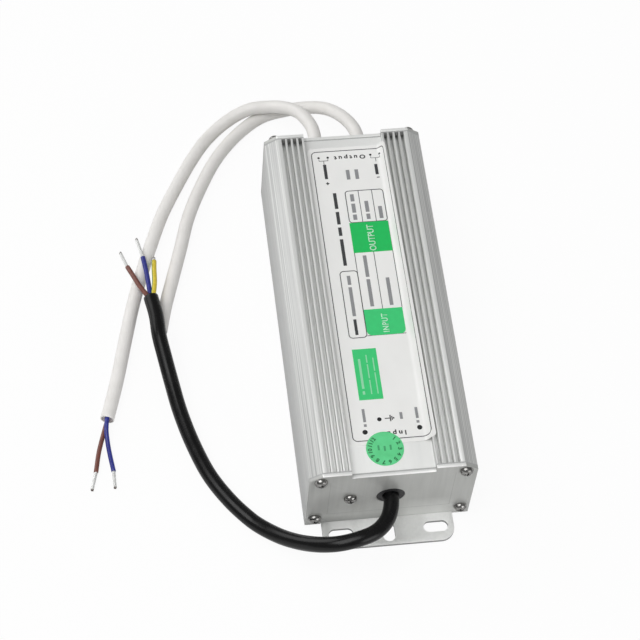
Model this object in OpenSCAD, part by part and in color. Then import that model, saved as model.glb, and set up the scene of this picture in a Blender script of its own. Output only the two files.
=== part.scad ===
// Waterproof power adapter. A finned aluminium extrusion stands on a slotted mounting plate that slides
// into its feet, and two gasketed sheet covers close its ends. A mains lead goes in at the front and two
// low-voltage leads leave at the rear. Inside, the circuit board is cast in compound.
// X runs across the case, Y from the input end to the output end, Z up.
// The origin is the middle of the underside.

/* [Case] */
// Width of the case over its side walls
case_width = 70; // [66:0.5:90]
// Height of the case above the surface it stands on
case_height = 43.5; // [43:0.5:60]
// Length over the two end covers
case_length = 171.5; // [170:0.5:260]
// Thickness of the side walls
side_wall = 2.5; // [2:0.1:3.2]
// Thickness of the roof under the label channel
roof = 2.5; // [1.5:0.1:3]
// Width of each sloped shoulder
shoulder_width = 5.7; // [4:0.1:6]
// Drop of each sloped shoulder
shoulder_drop = 4.1; // [3:0.1:5]

/* [Label channel and grooves] */
// Width of the channel that the label lies in
channel_width = 35; // [28:0.5:40]
// Depth of the channel
channel_depth = 3.2; // [1.5:0.1:4]
// Most grooves on each side of the channel
groove_count = 4; // [1:1:4]
// Width of each groove
groove_width = 1.55; // [0.8:0.05:1.6]
// Width of the rib beside each groove
rib_width = 0.95; // [0.6:0.05:1]
// Depth of each groove
groove_depth = 3; // [1:0.1:3.5]

/* [Mounting plate] */
// Width of the mounting plate
plate_width = 56; // [52:0.5:58]
// Thickness of the mounting plate
plate_thickness = 1.6; // [1.2:0.1:2.2]
// How far each mounting ear stands out from the end cover
ear_length = 12.75; // [12:0.25:20]
// Corner radius of the ears
ear_radius = 6; // [2:0.5:8]
// Length of the crosswise slots
slot_length = 10.5; // [7:0.25:14]
// Width of the crosswise slots
slot_width = 5; // [3:0.1:6]
// Distance between the middles of the two crosswise slots of an ear
slot_spacing = 40.4; // [36:0.1:42]
// Distance from the end cover to the middle of the crosswise slots
slot_offset = 6.1; // [4:0.1:8]
// Length of the lengthwise slot in the middle of an ear
centre_slot_length = 9; // [6:0.25:10]
// Width of the lengthwise slot in the middle of an ear
centre_slot_width = 5.2; // [3:0.1:6]
// Metal left between that slot and the edge of the ear
centre_slot_edge = 1.5; // [1:0.1:3]

/* [End covers] */
// Sheet thickness of the covers
cover_thickness = 1.5; // [1:0.1:2]
// Thickness of the gaskets behind the covers
gasket_thickness = 0.5; // [0.3:0.1:1.5]
// Diameter of the lead holes in the covers
lead_hole = 12; // [10:0.1:13]
// Height of the lead holes
lead_height = 22; // [20:0.25:26]
// Distance between the two output leads
output_spacing = 20; // [18:0.5:26]

/* [Screws] */
// Diameter of the screw shanks
screw_diameter = 2.5; // [2:0.1:2.8]
// Length of the screws under the head
screw_length = 12; // [8:0.5:16]
// Diameter of the pan heads
head_diameter = 5.6; // [4.5:0.1:5.6]
// Height of the pan heads
head_height = 2.4; // [1.4:0.1:2.8]
// Distance of the upper screws from the side of the case
high_screw_inset = 4.9; // [4.8:0.1:5.2]
// Distance of the lower screws from the side of the case
low_screw_inset = 4; // [3.8:0.1:4.8]
// Height of the lower screws
low_screw_height = 6.6; // [6.4:0.1:7.5]
// Distance of the upper screws below the top
high_screw_drop = 4.2; // [4:0.1:4.6]

/* [Leads] */
// Diameter of the input lead over its sheath
input_lead_diameter = 6.6; // [5.6:0.1:6.6]
// Diameter of the output leads over their sheath
output_lead_diameter = 6; // [5:0.1:6]
// Diameter of the input lead's insulated cores
input_core_diameter = 2.2; // [1.6:0.1:2.2]
// Diameter of the output leads' insulated cores
output_core_diameter = 2; // [1.6:0.1:2]
// Diameter of the bare stranded ends
strand_diameter = 1.3; // [0.8:0.1:1.4]

/* [Circuit board] */
// Length of the circuit board
board_length = 144; // [142:0.5:146]
// Thickness of the circuit board
board_thickness = 1.6; // [1:0.1:2]
// Height of the underside of the circuit board
board_height = 11; // [10.8:0.1:12]

/* [Hidden] */

$fn = 64;
over = 1;              // how far a cut runs past the faces that it opens
slide_gap = 0.1;       // clearance of the plate and the board in their grooves
side_gap = 0.2;        // clearance beside the plate where it passes a foot or a cover
screw_gap = 0.05;      // radial clearance of a screw in its port
hole_gap = 0.45;       // radial clearance of a screw in a cover
bore_gap = 0.1;        // radial clearance of a lead in its grommet
grommet_gap = 0.05;    // radial clearance of a grommet in its cover

half_width = case_width / 2;
cavity_half = half_width - side_wall;
channel_floor = case_height - channel_depth;
cavity_top = channel_floor - roof;
cover_stack = cover_thickness + gasket_thickness;
case_end = case_length / 2;
inner_end = case_end - cover_stack;
groove_pitch = groove_width + rib_width;
groove_room = half_width - shoulder_width - channel_width / 2;
grooves_each_side = min(groove_count, floor(groove_room / groove_pitch));

// Feet of the case, which hold the tongues of the mounting plate
tongue_reach = 1.5;
tongue_height = 0.8;
lip_height = plate_thickness - tongue_height;
foot_inner = plate_width / 2 + side_gap;
web_inner = plate_width / 2 - 1;     // the web over a tongue reaches a little in past the foot
web_bottom = plate_thickness + slide_gap;
web_thickness = 1.5;
foot_top = web_bottom + web_thickness;

// Screw ports
port_low = [half_width - low_screw_inset, low_screw_height];
port_high = [half_width - high_screw_inset, case_height - high_screw_drop];
port_radius = screw_diameter / 2 + screw_gap;
boss_radius = 3;
port_slit = 1.1;
cover_hole_radius = screw_diameter / 2 + hole_gap;
earth_x = -17;
earth_z = 22.8;

// Rails that hold the circuit board
rail_thickness = 1.2;
rail_reach = 2.2;
board_top = board_height + board_thickness;
board_side_gap = 0.3;
board_half = cavity_half - board_side_gap;

// End covers stand a little clear of the surface that the case stands on
cover_lift = 0.4;

// Grommets
flange_thickness = 1.5;
flange_reach = 1.5;
nose_length = 3;
nose_step = 1.5;
nose_radius = lead_hole / 2 - nose_step;
grommet_length = cover_stack + flange_thickness + nose_length;
input_lead_radius = input_lead_diameter / 2;
output_lead_radius = output_lead_diameter / 2;
input_core_radius = input_core_diameter / 2;
output_core_radius = output_core_diameter / 2;
strand_radius = strand_diameter / 2;
lead_inner_y = 78;
output_x = output_spacing / 2;

// Label and sticker. The label was stuck on by hand, so more of it lies over the rib at its front end.
label_thickness = 0.2;
label_left = 0.9 - channel_width / 2;
label_right_front = channel_width / 2 + 1.9;
label_right_rear = channel_width / 2 + 0.8;
label_front = 14.55 - case_end;
label_rear = case_end - 6.35;
label_bend_start = channel_width / 2 - 3.2;    // where it leaves the channel's floor
label_bend_end = channel_width / 2 - 0.1;      // where it reaches the first rib
label_corner = 2;
sticker_x = -2.2;
sticker_y = label_front - 2.2;
sticker_radius = 7.85;
sticker_thickness = 0.1;
sticker_gap = 0.1;             // between the label's front edge and the sticker's step down to the floor

// Routes of the leads' centrelines, from inside the covers to their cut ends
in_rest = input_lead_radius;    // height of the middle of a lead that lies on the floor
out_rest = output_lead_radius;
input_route = [
    [0, -78, lead_height], [0, -88, lead_height], [-2.5, -96, 22], [-8, -102, 23],
    [-15.5, -105, 23.5], [-24, -105.5, 21.5], [-32, -103, 17], [-40, -98, 11], [-48, -91.5, 6],
    [-57, -83, in_rest], [-65.5, -72.5, in_rest], [-73, -59.5, in_rest], [-78.5, -44, in_rest],
    [-82.5, -28.5, 4], [-85, -14.5, 5.5], [-87, -2.5, 7.5], [-88.5, 7.5, 9], [-89, 17.5, 9.5],
    [-90.5, 27.5, 9]];
output_left_route = [
    [-output_x, 78, lead_height], [-output_x, 90, lead_height], [-9.5, 99, 22],
    [-10.5, 107.5, 20.5], [-14.5, 116.5, 18], [-20.5, 122.5, 14.5], [-27.5, 126.5, 10.5],
    [-36.5, 127.5, 8], [-46, 124.5, 5], [-56, 117, out_rest], [-65, 105, out_rest],
    [-74, 89.5, out_rest], [-82, 74, out_rest], [-88.5, 57.5, out_rest], [-94, 42, out_rest],
    [-99, 26, out_rest], [-103.5, 9, out_rest], [-108.5, -10.5, out_rest], [-114, -29, out_rest]];
output_right_route = [
    [output_x, 78, lead_height], [output_x, 90, lead_height], [10, 99.5, 21.5], [8, 107.5, 19.5],
    [4, 117.5, 14], [-1.5, 124, 10], [-9, 128, 6], [-19, 129, 3.5], [-31, 126, out_rest],
    [-43, 117, out_rest], [-54, 104, out_rest], [-63, 88, out_rest], [-70, 72, out_rest],
    [-75, 55.5, out_rest], [-80, 39.5, out_rest], [-84.5, 25, out_rest], [-87.5, 13, out_rest]];

// Cores: each starts on the cut end of its lead, then follows these points to the end of its insulation
input_brown_route = [[-94.8, 33.5, 8.8], [-96.9, 39, 7.8], [-99.5, 46.4, 5.6]];
input_blue_route = [[-91, 36.4, 7.6], [-91.5, 43.3, 7.3], [-92.3, 50, 7.2]];
input_earth_route = [[-88.2, 35.6, 8.4], [-87.8, 43.4, 6.8], [-87.4, 48.5, 5.6]];
output_left_blue_route = [[-114.7, -34, 3.4], [-114.6, -38.7, 1.9], [-114.1, -44.5, 1.1], [-113, -53.3, 1.1]];
output_left_brown_route = [[-115.4, -33, 1.4], [-118.5, -43.1, 1.1], [-120.5, -53.1, 1.1]];
output_right_brown_route = [[-88.4, 7, 1.8], [-87.5, 1, 1.1], [-86.5, -5, 1.1]];
output_right_blue_route = [[-86.1, 7, 1.8], [-85.2, 1, 1.1], [-84.2, -5, 1.1]];
input_brown_tip = [-102.1, 56.2, 2.8];
input_blue_tip = [-94.5, 60, 7.5];
input_earth_tip = [-87.3, 50.7, 4.9];
output_left_blue_tip = [-112.9, -61.4, 0.9];
output_left_brown_tip = [-122.8, -61.6, 0.9];
output_right_brown_tip = [-85.8, -11.5, 0.9];
output_right_blue_tip = [-83.5, -11.5, 0.9];
bare_gap = 0.2;

// Parts on the board: middle x, middle y, width, length, height above the board
fuse_box = [-24, -61, 6, 22, 7.5];
varistor_box = [-11, -60, 14, 4.5, 16];
x_capacitor_box = [14, -58, 18, 9, 15];
y_capacitor_box = [2, -44, 9, 3.5, 10];
line_choke_box = [-15, -37, 24, 24, 10];
bridge_box = [19, -42, 20, 4.6, 17];
control_chip_box = [-22, 6, 9.6, 6.4, 3.6];
transformer_box = [0, 22, 36, 31, 23];
output_choke_box = [-16, 52, 21, 21, 9];
bulk_capacitor_radius = 8.5;
bulk_capacitor_height = 23.5;
bulk_capacitor_places = [[-19, -17], [0, -17]];
output_capacitor_radius = 5;
output_capacitor_height = 20;
output_capacitor_places = [[2, 46], [14, 46], [2, 58], [14, 58]];
transistor_y = -12;
rectifier_y = 52;
spreader_thickness = 2;
spreader_length = 26;
spreader_bottom = board_top + slide_gap + rail_thickness;
spreader_height = 20;
spreader_top = min(spreader_bottom + spreader_height, port_high.y - boss_radius - 0.5);
transistor_thickness = 4.5;
transistor_bottom = board_top + 5;
leg_radius = 0.4;      // round legs of the small parts
pocket_gap = 0.2;
compound_floor = plate_thickness + slide_gap + 0.4;
wire_y = 66;           // where the inner wires come down to the board
wire_spread = 6;       // between the middles of a lead's two outer wires
wire_drop = 5.5;       // how far along the case they take to come down
wire_room = 2;         // free room round them
wire_end_gap = 0.3;     // between a wire's end and the board
earth_wire_radius = 0.8;

// General shapes

// A flat outline drawn across the case, with its thickness from y towards the rear
module across(y, thickness) {
    translate([0, y + thickness, 0])
        rotate([90, 0, 0])
            linear_extrude(height = thickness)
                children();
}

// Both sides of the case
module both_sides() {
    children();
    mirror([1, 0, 0]) children();
}

// A piece drawn for the rear end, turned to the front where end is -1
module at_end(end) {
    mirror([0, end < 0 ? 1 : 0, 0]) children();
}

// A straight round bar between two points
module bar(from, to, radius) {
    run = to - from;
    reach = norm(run);
    translate(from)
        rotate([0, acos(run.z / reach), atan2(run.y, run.x)])
            cylinder(h = reach, r = radius);
}

// Direction of a route at one of its points
function unit(v) = v / norm(v);
function heading(route, i) =
    i == 0 ? unit(route[1] - route[0])
    : i == len(route) - 1 ? unit(route[i] - route[i - 1])
    : unit(unit(route[i] - route[i - 1]) + unit(route[i + 1] - route[i]));
function level_side(dir) = unit(cross(dir, [0, 0, 1]));

// One ring of a swept tube, square to the direction given
function ring(middle, dir, radius, sides) =
    let (side = level_side(dir), rise = cross(side, dir))
    [for (k = [0 : sides - 1])
        let (angle = 360 * k / sides)
        middle + radius * (cos(angle) * side + sin(angle) * rise)];

// A round tube swept along a route, which starts square to first_dir
module tube(route, radius, sides, first_dir) {
    rings = len(route);
    start_dir = is_undef(first_dir) ? heading(route, 0) : first_dir;
    points = [for (i = [0 : rings - 1])
        each ring(route[i], i == 0 ? start_dir : heading(route, i), radius, sides)];
    walls = [for (i = [0 : rings - 2], k = [0 : sides - 1])
        let (a = i * sides + k, b = i * sides + (k + 1) % sides)
        [a, b, b + sides, a + sides]];
    first_cap = [for (k = [sides - 1 : -1 : 0]) k];
    last_cap = [for (k = [0 : sides - 1]) (rings - 1) * sides + k];
    polyhedron(points = points, faces = concat(walls, [first_cap, last_cap]));
}

// Where a core leaves the cut end of a lead: beside and above the middle of the end
function core_start(lead_route, beside, above) =
    let (end = len(lead_route) - 1,
         dir = heading(lead_route, end),
         side = level_side(dir))
    lead_route[end] + beside * side + above * cross(side, dir);

// A core that starts flat on the cut end of its lead
module core(lead_route, beside, above, route, radius) {
    tube(concat([core_start(lead_route, beside, above)], route), radius, 8,
         heading(lead_route, len(lead_route) - 1));
}

// The bare strands past the end of a core's insulation
module bare_end(route, tip) {
    from = route[len(route) - 1];
    bar(from + bare_gap * unit(tip - from), tip, strand_radius);
}

// Case profile, drawn with x across and y up

module case_outline() {
    shoulder_x = half_width - shoulder_width;
    shoulder_z = case_height - shoulder_drop;
    polygon([[-half_width, 0], [half_width, 0], [half_width, shoulder_z],
             [shoulder_x, case_height], [-shoulder_x, case_height], [-half_width, shoulder_z]]);
}

module channel_outline() {
    translate([-channel_width / 2, channel_floor]) square([channel_width, channel_depth + over]);
}

module groove_outlines() {
    both_sides()
        for (i = [0 : grooves_each_side - 1])
            translate([channel_width / 2 + rib_width + i * groove_pitch, case_height - groove_depth])
                square([groove_width, groove_depth + over]);
}

// The four screw ports, as the discs that the holes are drilled in
module port_places() {
    both_sides() {
        translate(port_low) children();
        translate(port_high) children();
    }
}

// Feet, screw bosses and board rails that stand in from the side walls
module inner_forms() {
    both_sides() {
        translate([foot_inner, 0]) square([half_width - foot_inner, foot_top]);
        translate([web_inner, web_bottom]) square([half_width - web_inner, web_thickness]);
        translate([port_low.x - boss_radius, web_bottom])
            square([half_width - port_low.x + boss_radius, port_low.y - web_bottom]);
        translate([cavity_half - rail_reach, board_height - slide_gap - rail_thickness])
            square([rail_reach + side_wall, rail_thickness]);
        translate([cavity_half - rail_reach, board_top + slide_gap])
            square([rail_reach + side_wall, rail_thickness]);
    }
    port_places() circle(r = boss_radius);
}

// The room inside the case, which the compound fills
module cavity_outline() {
    difference() {
        translate([-cavity_half, -over]) square([2 * cavity_half, cavity_top + over]);
        inner_forms();
    }
}

// Grooves in the feet for the tongues of the mounting plate
module tongue_groove_outlines() {
    both_sides()
        translate([foot_inner - over, lip_height - slide_gap])
            square([tongue_reach + over, tongue_height + 2 * slide_gap]);
}

// Each screw port is open along its length, the upper ones downwards, the lower ones inwards
module port_slits() {
    both_sides() {
        translate([port_high.x - port_slit / 2, port_high.y - boss_radius - over])
            square([port_slit, boss_radius + over]);
        translate([port_low.x - boss_radius - over, port_low.y - port_slit / 2])
            square([boss_radius + over, port_slit]);
    }
}

module stepped_outline() {
    difference() {
        case_outline();
        channel_outline();
    }
}

module case_profile() {
    difference() {
        stepped_outline();
        groove_outlines();
        cavity_outline();
        tongue_groove_outlines();
        port_slits();
        port_places() circle(r = port_radius);
    }
}

// Housing

module case() {
    color("#c9cccf")
        across(-inner_end, 2 * inner_end) case_profile();
}

// A slot with round ends, lying along x
module slot(length, width, depth) {
    straight = length - width;
    translate([-straight / 2, -width / 2, 0]) cube([straight, width, depth]);
    for (x = [-straight / 2, straight / 2]) translate([x, 0, 0]) cylinder(h = depth, d = width);
}

// The plate's main sheet with four round corners
module plate_sheet() {
    length = case_length + 2 * ear_length;
    corner_x = plate_width / 2 - ear_radius;
    corner_y = length / 2 - ear_radius;
    translate([-corner_x, -length / 2, 0]) cube([2 * corner_x, length, plate_thickness]);
    translate([-plate_width / 2, -corner_y, 0]) cube([plate_width, 2 * corner_y, plate_thickness]);
    for (x = [-corner_x, corner_x], y = [-corner_y, corner_y])
        translate([x, y, 0]) cylinder(h = plate_thickness, r = ear_radius);
}

module base_plate() {
    tongue_width = plate_width + 2 * tongue_reach;
    tongue_length = 2 * (inner_end - slide_gap);
    centre_slot_y = case_end + ear_length - centre_slot_edge - centre_slot_length / 2;
    color("#bfc3c7")
        difference() {
            union() {
                plate_sheet();
                translate([-tongue_width / 2, -tongue_length / 2, lip_height])
                    cube([tongue_width, tongue_length, tongue_height]);
            }
            for (end = [-1, 1]) {
                for (side = [-1, 1])
                    translate([side * slot_spacing / 2, end * (case_end + slot_offset), -over])
                        slot(slot_length, slot_width, plate_thickness + 2 * over);
                translate([0, end * centre_slot_y, -over])
                    rotate([0, 0, 90])
                        slot(centre_slot_length, centre_slot_width, plate_thickness + 2 * over);
            }
        }
}

// Outline of a cover, which follows the case but runs straight over the ends of the grooves
module cover_outline() {
    notch_width = plate_width + 2 * side_gap;
    difference() {
        stepped_outline();
        translate([-half_width - over, -over]) square([case_width + 2 * over, over + cover_lift]);
        translate([-notch_width / 2, -over]) square([notch_width, over + plate_thickness + side_gap]);
        port_places() circle(r = cover_hole_radius);
    }
}

// Holes of the front cover: one lead and the earth screw
module front_holes() {
    translate([0, lead_height]) circle(d = lead_hole);
    translate([earth_x, earth_z]) circle(r = cover_hole_radius);
}

// Holes of the rear cover: two leads
module rear_holes() {
    both_sides() translate([output_x, lead_height]) circle(d = lead_hole);
}

module front_end_plate() {
    color("#b9bdc1")
        across(-case_end, cover_thickness)
            difference() {
                cover_outline();
                front_holes();
            }
}

module rear_end_plate() {
    color("#b9bdc1")
        across(case_end - cover_thickness, cover_thickness)
            difference() {
                cover_outline();
                rear_holes();
            }
}

module front_gasket() {
    color("#6d7073")
        across(-inner_end - gasket_thickness, gasket_thickness)
            difference() {
                cover_outline();
                front_holes();
            }
}

module rear_gasket() {
    color("#6d7073")
        across(inner_end, gasket_thickness)
            difference() {
                cover_outline();
                rear_holes();
            }
}

// Pan-head screw along +y with the underside of its head at the origin, its tip towards -y
module pan_screw(length) {
    head_radius = head_diameter / 2;
    rim = 0.6;
    dome = head_height - rim;
    dome_radius = (head_radius * head_radius + dome * dome) / (2 * dome);
    recess_depth = 1.1;
    recess_width = 0.75;
    recess_length = 3.2;
    point = 1.5;
    point_diameter = 1;
    rotate([-90, 0, 0]) {
        difference() {
            intersection() {
                cylinder(h = head_height, r = head_radius);
                translate([0, 0, head_height - dome_radius]) sphere(r = dome_radius);
            }
            for (turn = [0, 90])
                rotate([0, 0, turn])
                    translate([-recess_length / 2, -recess_width / 2, head_height - recess_depth])
                        cube([recess_length, recess_width, recess_depth + over]);
        }
        translate([0, 0, point - length]) cylinder(h = length - point, d = screw_diameter);
        translate([0, 0, -length])
            cylinder(h = point, d1 = point_diameter, d2 = screw_diameter);
    }
}

// The four screws of one cover
module cover_screws(end) {
    color("#d4d6d8")
        at_end(end)
            for (side = [-1, 1], place = [port_low, port_high])
                translate([side * place.x, case_end, place.y]) pan_screw(screw_length);
}

module front_screws() {
    cover_screws(-1);
}

module rear_screws() {
    cover_screws(1);
}

// Earth screw through the front cover, with a ring lug and a nut on the inside
lug_thickness = 0.8;
lug_radius = 4;
lug_tail = 5;
lug_end = earth_x + lug_radius + lug_tail;
nut_thickness = 2.4;
earth_screw_length = cover_stack + lug_thickness + nut_thickness + 1.5;

module earth_screw() {
    color("#d4d6d8")
        translate([earth_x, -case_end, earth_z])
            rotate([0, 0, 180])
                pan_screw(earth_screw_length);
}

module earth_lug() {
    barrel_radius = 1.7;
    barrel_length = 2.5;
    color("#c8b070")
        translate([earth_x, -inner_end, earth_z])
            difference() {
                union() {
                    rotate([-90, 0, 0]) cylinder(h = lug_thickness, r = lug_radius);
                    translate([0, 0, -barrel_radius])
                        cube([lug_radius + lug_tail, lug_thickness, 2 * barrel_radius]);
                    translate([lug_radius + lug_tail - barrel_length, lug_thickness / 2 + barrel_radius, 0])
                        rotate([0, 90, 0]) cylinder(h = barrel_length, r = barrel_radius);
                }
                translate([0, -over, 0])
                    rotate([-90, 0, 0]) cylinder(h = 3 * over, r = screw_diameter / 2 + screw_gap);
            }
}

module earth_nut() {
    nut_across_corners = 6;
    color("#d4d6d8")
        translate([earth_x, -inner_end + lug_thickness, earth_z])
            rotate([-90, 0, 0])
                difference() {
                    cylinder(h = nut_thickness, d = nut_across_corners, $fn = 6);
                    translate([0, 0, -over])
                        cylinder(h = nut_thickness + 2 * over, r = screw_diameter / 2 + screw_gap);
                }
}

// Rubber grommet flush with the outside of its cover, its flange held against the gasket from inside
module grommet_body() {
    body_radius = lead_hole / 2 - grommet_gap;
    flange_radius = lead_hole / 2 + flange_reach;
    flange_y = cover_stack + flange_thickness;
    rotate([90, 0, 0])
        rotate_extrude()
            polygon([[0, 0], [body_radius, 0], [body_radius, cover_stack],
                     [flange_radius, cover_stack], [flange_radius, flange_y], [nose_radius, flange_y],
                     [nose_radius, grommet_length], [0, grommet_length]]);
}

module grommet(x, end, lead_radius) {
    color("#1b1b1c")
        at_end(end)
            translate([x, case_end, lead_height])
                difference() {
                    grommet_body();
                    translate([0, over, 0])
                        rotate([90, 0, 0])
                            cylinder(h = grommet_length + 2 * over, r = lead_radius + bore_gap);
                }
}

module input_grommet() {
    grommet(0, -1, input_lead_radius);
}

module output_grommet_left() {
    grommet(-output_x, 1, output_lead_radius);
}

module output_grommet_right() {
    grommet(output_x, 1, output_lead_radius);
}

// Height of the label's underside across the case: it lies in the channel, then rises in a hollow curve
// to the edge of the first rib
function label_rise(x) =
    let (t = min(1, max(0, (x - label_bend_start) / (label_bend_end - label_bend_start))))
    channel_floor + channel_depth * t * t;

// The label's outline seen from above, with four round corners
module label_outline() {
    left = label_left + label_corner;
    right_front = label_right_front - label_corner;
    right_rear = label_right_rear - label_corner;
    front = label_front + label_corner;
    rear = label_rear - label_corner;
    polygon([[left, label_front], [right_front, label_front], [label_right_front, front],
             [label_right_rear, rear], [right_rear, label_rear], [left, label_rear],
             [label_left, rear], [label_left, front]]);
    for (middle = [[left, front], [right_front, front], [right_rear, rear], [left, rear]])
        translate(middle) circle(r = label_corner);
}

// Printed label: it lies in the channel and climbs the channel's right wall onto the first rib
module label() {
    steps = 8;
    curve = [for (i = [0 : steps])
        let (x = label_bend_start + i * (label_bend_end - label_bend_start) / steps)
        [x, label_rise(x)]];
    underside = concat([[label_left, channel_floor]], curve, [[label_right_front, case_height]]);
    top = [for (i = [len(underside) - 1 : -1 : 0]) underside[i] + [0, label_thickness]];
    color("#eef0f0")
        intersection() {
            across(label_front, label_rear - label_front) polygon(concat(underside, top));
            linear_extrude(height = case_height + channel_depth) label_outline();
        }
}

// Round sticker, half on the label and half on the channel floor in front of it
module date_sticker() {
    step_rear = label_front - sticker_gap;
    step_front = step_rear - sticker_thickness;
    size = 2 * sticker_radius;
    color("#58d28c")
        intersection() {
            translate([sticker_x, sticker_y, channel_floor])
                cylinder(h = label_thickness + sticker_thickness, r = sticker_radius);
            translate([sticker_x - sticker_radius, 0, channel_floor]) {
                translate([0, step_front, label_thickness]) cube([size, size, sticker_thickness]);
                translate([0, step_front, 0])
                    cube([size, sticker_thickness, label_thickness + sticker_thickness]);
                translate([0, step_rear - size, 0]) cube([size, size, sticker_thickness]);
            }
        }
}

// Leads

module input_lead() {
    color("#17181a") tube(input_route, input_lead_radius, 10);
}

module output_lead_left() {
    color("#e6e5e1") tube(output_left_route, output_lead_radius, 10);
}

module output_lead_right() {
    color("#e6e5e1") tube(output_right_route, output_lead_radius, 10);
}

module input_brown_core() {
    color("#7d4b45") core(input_route, -1.15, 0.65, input_brown_route, input_core_radius);
}

module input_blue_core() {
    color("#3d4296") core(input_route, 0, -1.3, input_blue_route, input_core_radius);
}

module input_earth_core() {
    color("#d2bd36") core(input_route, 1.15, 0.65, input_earth_route, input_core_radius);
}

module input_strands() {
    color("#c9ccca") {
        bare_end(input_brown_route, input_brown_tip);
        bare_end(input_blue_route, input_blue_tip);
        bare_end(input_earth_route, input_earth_tip);
    }
}

module output_left_brown_core() {
    color("#7d4b45") core(output_left_route, 0, -1.1, output_left_brown_route, output_core_radius);
}

module output_left_blue_core() {
    color("#3d4296") core(output_left_route, 0, 1.1, output_left_blue_route, output_core_radius);
}

module output_left_strands() {
    color("#c9ccca") {
        bare_end(output_left_brown_route, output_left_brown_tip);
        bare_end(output_left_blue_route, output_left_blue_tip);
    }
}

module output_right_brown_core() {
    color("#7d4b45") core(output_right_route, 1.1, -0.5, output_right_brown_route, output_core_radius);
}

module output_right_blue_core() {
    color("#3d4296") core(output_right_route, -1.1, -0.5, output_right_blue_route, output_core_radius);
}

module output_right_strands() {
    color("#c9ccca") {
        bare_end(output_right_brown_route, output_right_brown_tip);
        bare_end(output_right_blue_route, output_right_blue_tip);
    }
}

// Route of a core inside the case, from the inner end of a lead down to the board, at the rear end
function inner_route(x, side, z) = [
    [x + side * 1.2, lead_inner_y - bare_gap, z], [x + side * 2.4, wire_y + wire_drop + 0.5, z],
    [x + side * wire_spread / 2, wire_y + 2, z - 3],
    [x + side * wire_spread / 2, wire_y, board_top + wire_end_gap]];

// Cores from the inner end of the mains lead: two to the board, the earth core back to the lug
module input_inner_wires() {
    z = lead_height + 1.6;
    color("#7d4b45") {
        at_end(-1)
            for (side = [-1, 1])
                tube(inner_route(0, side, lead_height - 0.6), input_core_radius, 8);
        tube([[0, bare_gap - lead_inner_y, z], [-1, -75.2, z], [-4.2, -75, 23.3],
              [-6.1, -78.4, earth_z], [lug_end + 0.9, -81.3, earth_z]], earth_wire_radius, 8);
    }
}

// Cores from the inner ends of the two output leads to the board
module output_inner_wires() {
    color("#3d4296")
        for (x = [-output_x, output_x], side = [-1, 1])
            tube(inner_route(x, side, lead_height), output_core_radius, 8);
}

// Inside of the case

module insulation_sheet() {
    inset = 1;
    width = 2 * (web_inner - inset);
    length = 2 * (inner_end - inset);
    bottom = plate_thickness + slide_gap;
    color("#e8e2c8")
        translate([-width / 2, -length / 2, bottom])
            cube([width, length, compound_floor - bottom]);
}

module circuit_board() {
    color("#2f6b3c")
        translate([-board_half, -board_length / 2, board_height])
            cube([2 * board_half, board_length, board_thickness]);
}

// Puts a part at its place on the board
module on_board(box) {
    translate([box[0], box[1], board_top]) children();
}

// A block the size of a part, standing on the board at its middle
module block(width, length, height) {
    translate([-width / 2, -length / 2, 0]) cube([width, length, height]);
}

// The room that the compound leaves for a part
module pocket(box) {
    on_board(box)
        translate([0, 0, -pocket_gap])
            block(box[2] + 2 * pocket_gap, box[3] + 2 * pocket_gap, box[4] + 2 * pocket_gap);
}

// The cast compound: the whole room inside the case, less the parts that it holds
module potting() {
    room_height = cavity_top - compound_floor;
    color("#3a3c3f")
        difference() {
            intersection() {
                across(-inner_end, 2 * inner_end) cavity_outline();
                translate([-half_width, -inner_end, compound_floor])
                    cube([case_width, 2 * inner_end, room_height]);
            }
            translate([-half_width, -board_length / 2 - pocket_gap, board_height - pocket_gap])
                cube([case_width, board_length + 2 * pocket_gap, board_thickness + 2 * pocket_gap]);
            for (box = [fuse_box, varistor_box, x_capacitor_box, y_capacitor_box, line_choke_box,
                        bridge_box, control_chip_box, transformer_box, output_choke_box])
                pocket(box);
            for (place = bulk_capacitor_places)
                on_board(place)
                    cylinder(h = bulk_capacitor_height + pocket_gap, r = bulk_capacitor_radius + pocket_gap);
            for (place = output_capacitor_places)
                on_board(place)
                    cylinder(h = output_capacitor_height + pocket_gap,
                             r = output_capacitor_radius + pocket_gap);
            for (y = [transistor_y, rectifier_y])
                translate([cavity_half - spreader_thickness - transistor_thickness - pocket_gap,
                           y - spreader_length / 2 - pocket_gap, board_top - pocket_gap])
                    cube([spreader_thickness + transistor_thickness + over,
                          spreader_length + 2 * pocket_gap, spreader_top - board_top + 2 * pocket_gap]);
            end_pocket(-1, [0]);
            end_pocket(1, [-output_x, output_x]);
            earth_pocket();
        }
}

// The room for the grommets, the inner ends of the leads and their wires, at one end
module end_pocket(end, places) {
    flange_y = inner_end - flange_thickness;
    flange_radius = lead_hole / 2 + flange_reach + pocket_gap;
    width = wire_spread + 2 * wire_room;
    at_end(end)
        for (x = places) {
            translate([x, flange_y, lead_height])
                rotate([-90, 0, 0]) cylinder(h = flange_thickness + over, r = flange_radius);
            translate([x, wire_y - wire_room, lead_height])
                rotate([-90, 0, 0])
                    cylinder(h = flange_y - wire_y + wire_room + over, r = width / 2);
            translate([x - width / 2, wire_y - wire_room, board_top - pocket_gap])
                cube([width, wire_drop + wire_room, lead_height - board_top]);
        }
}

// The room for the earth lug, its nut and the wire to it
module earth_pocket() {
    width = 26;
    depth = 11;
    height = 10;
    translate([earth_x - height / 2, -inner_end - over, earth_z - height / 2])
        cube([width, depth + over, height]);
}

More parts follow.
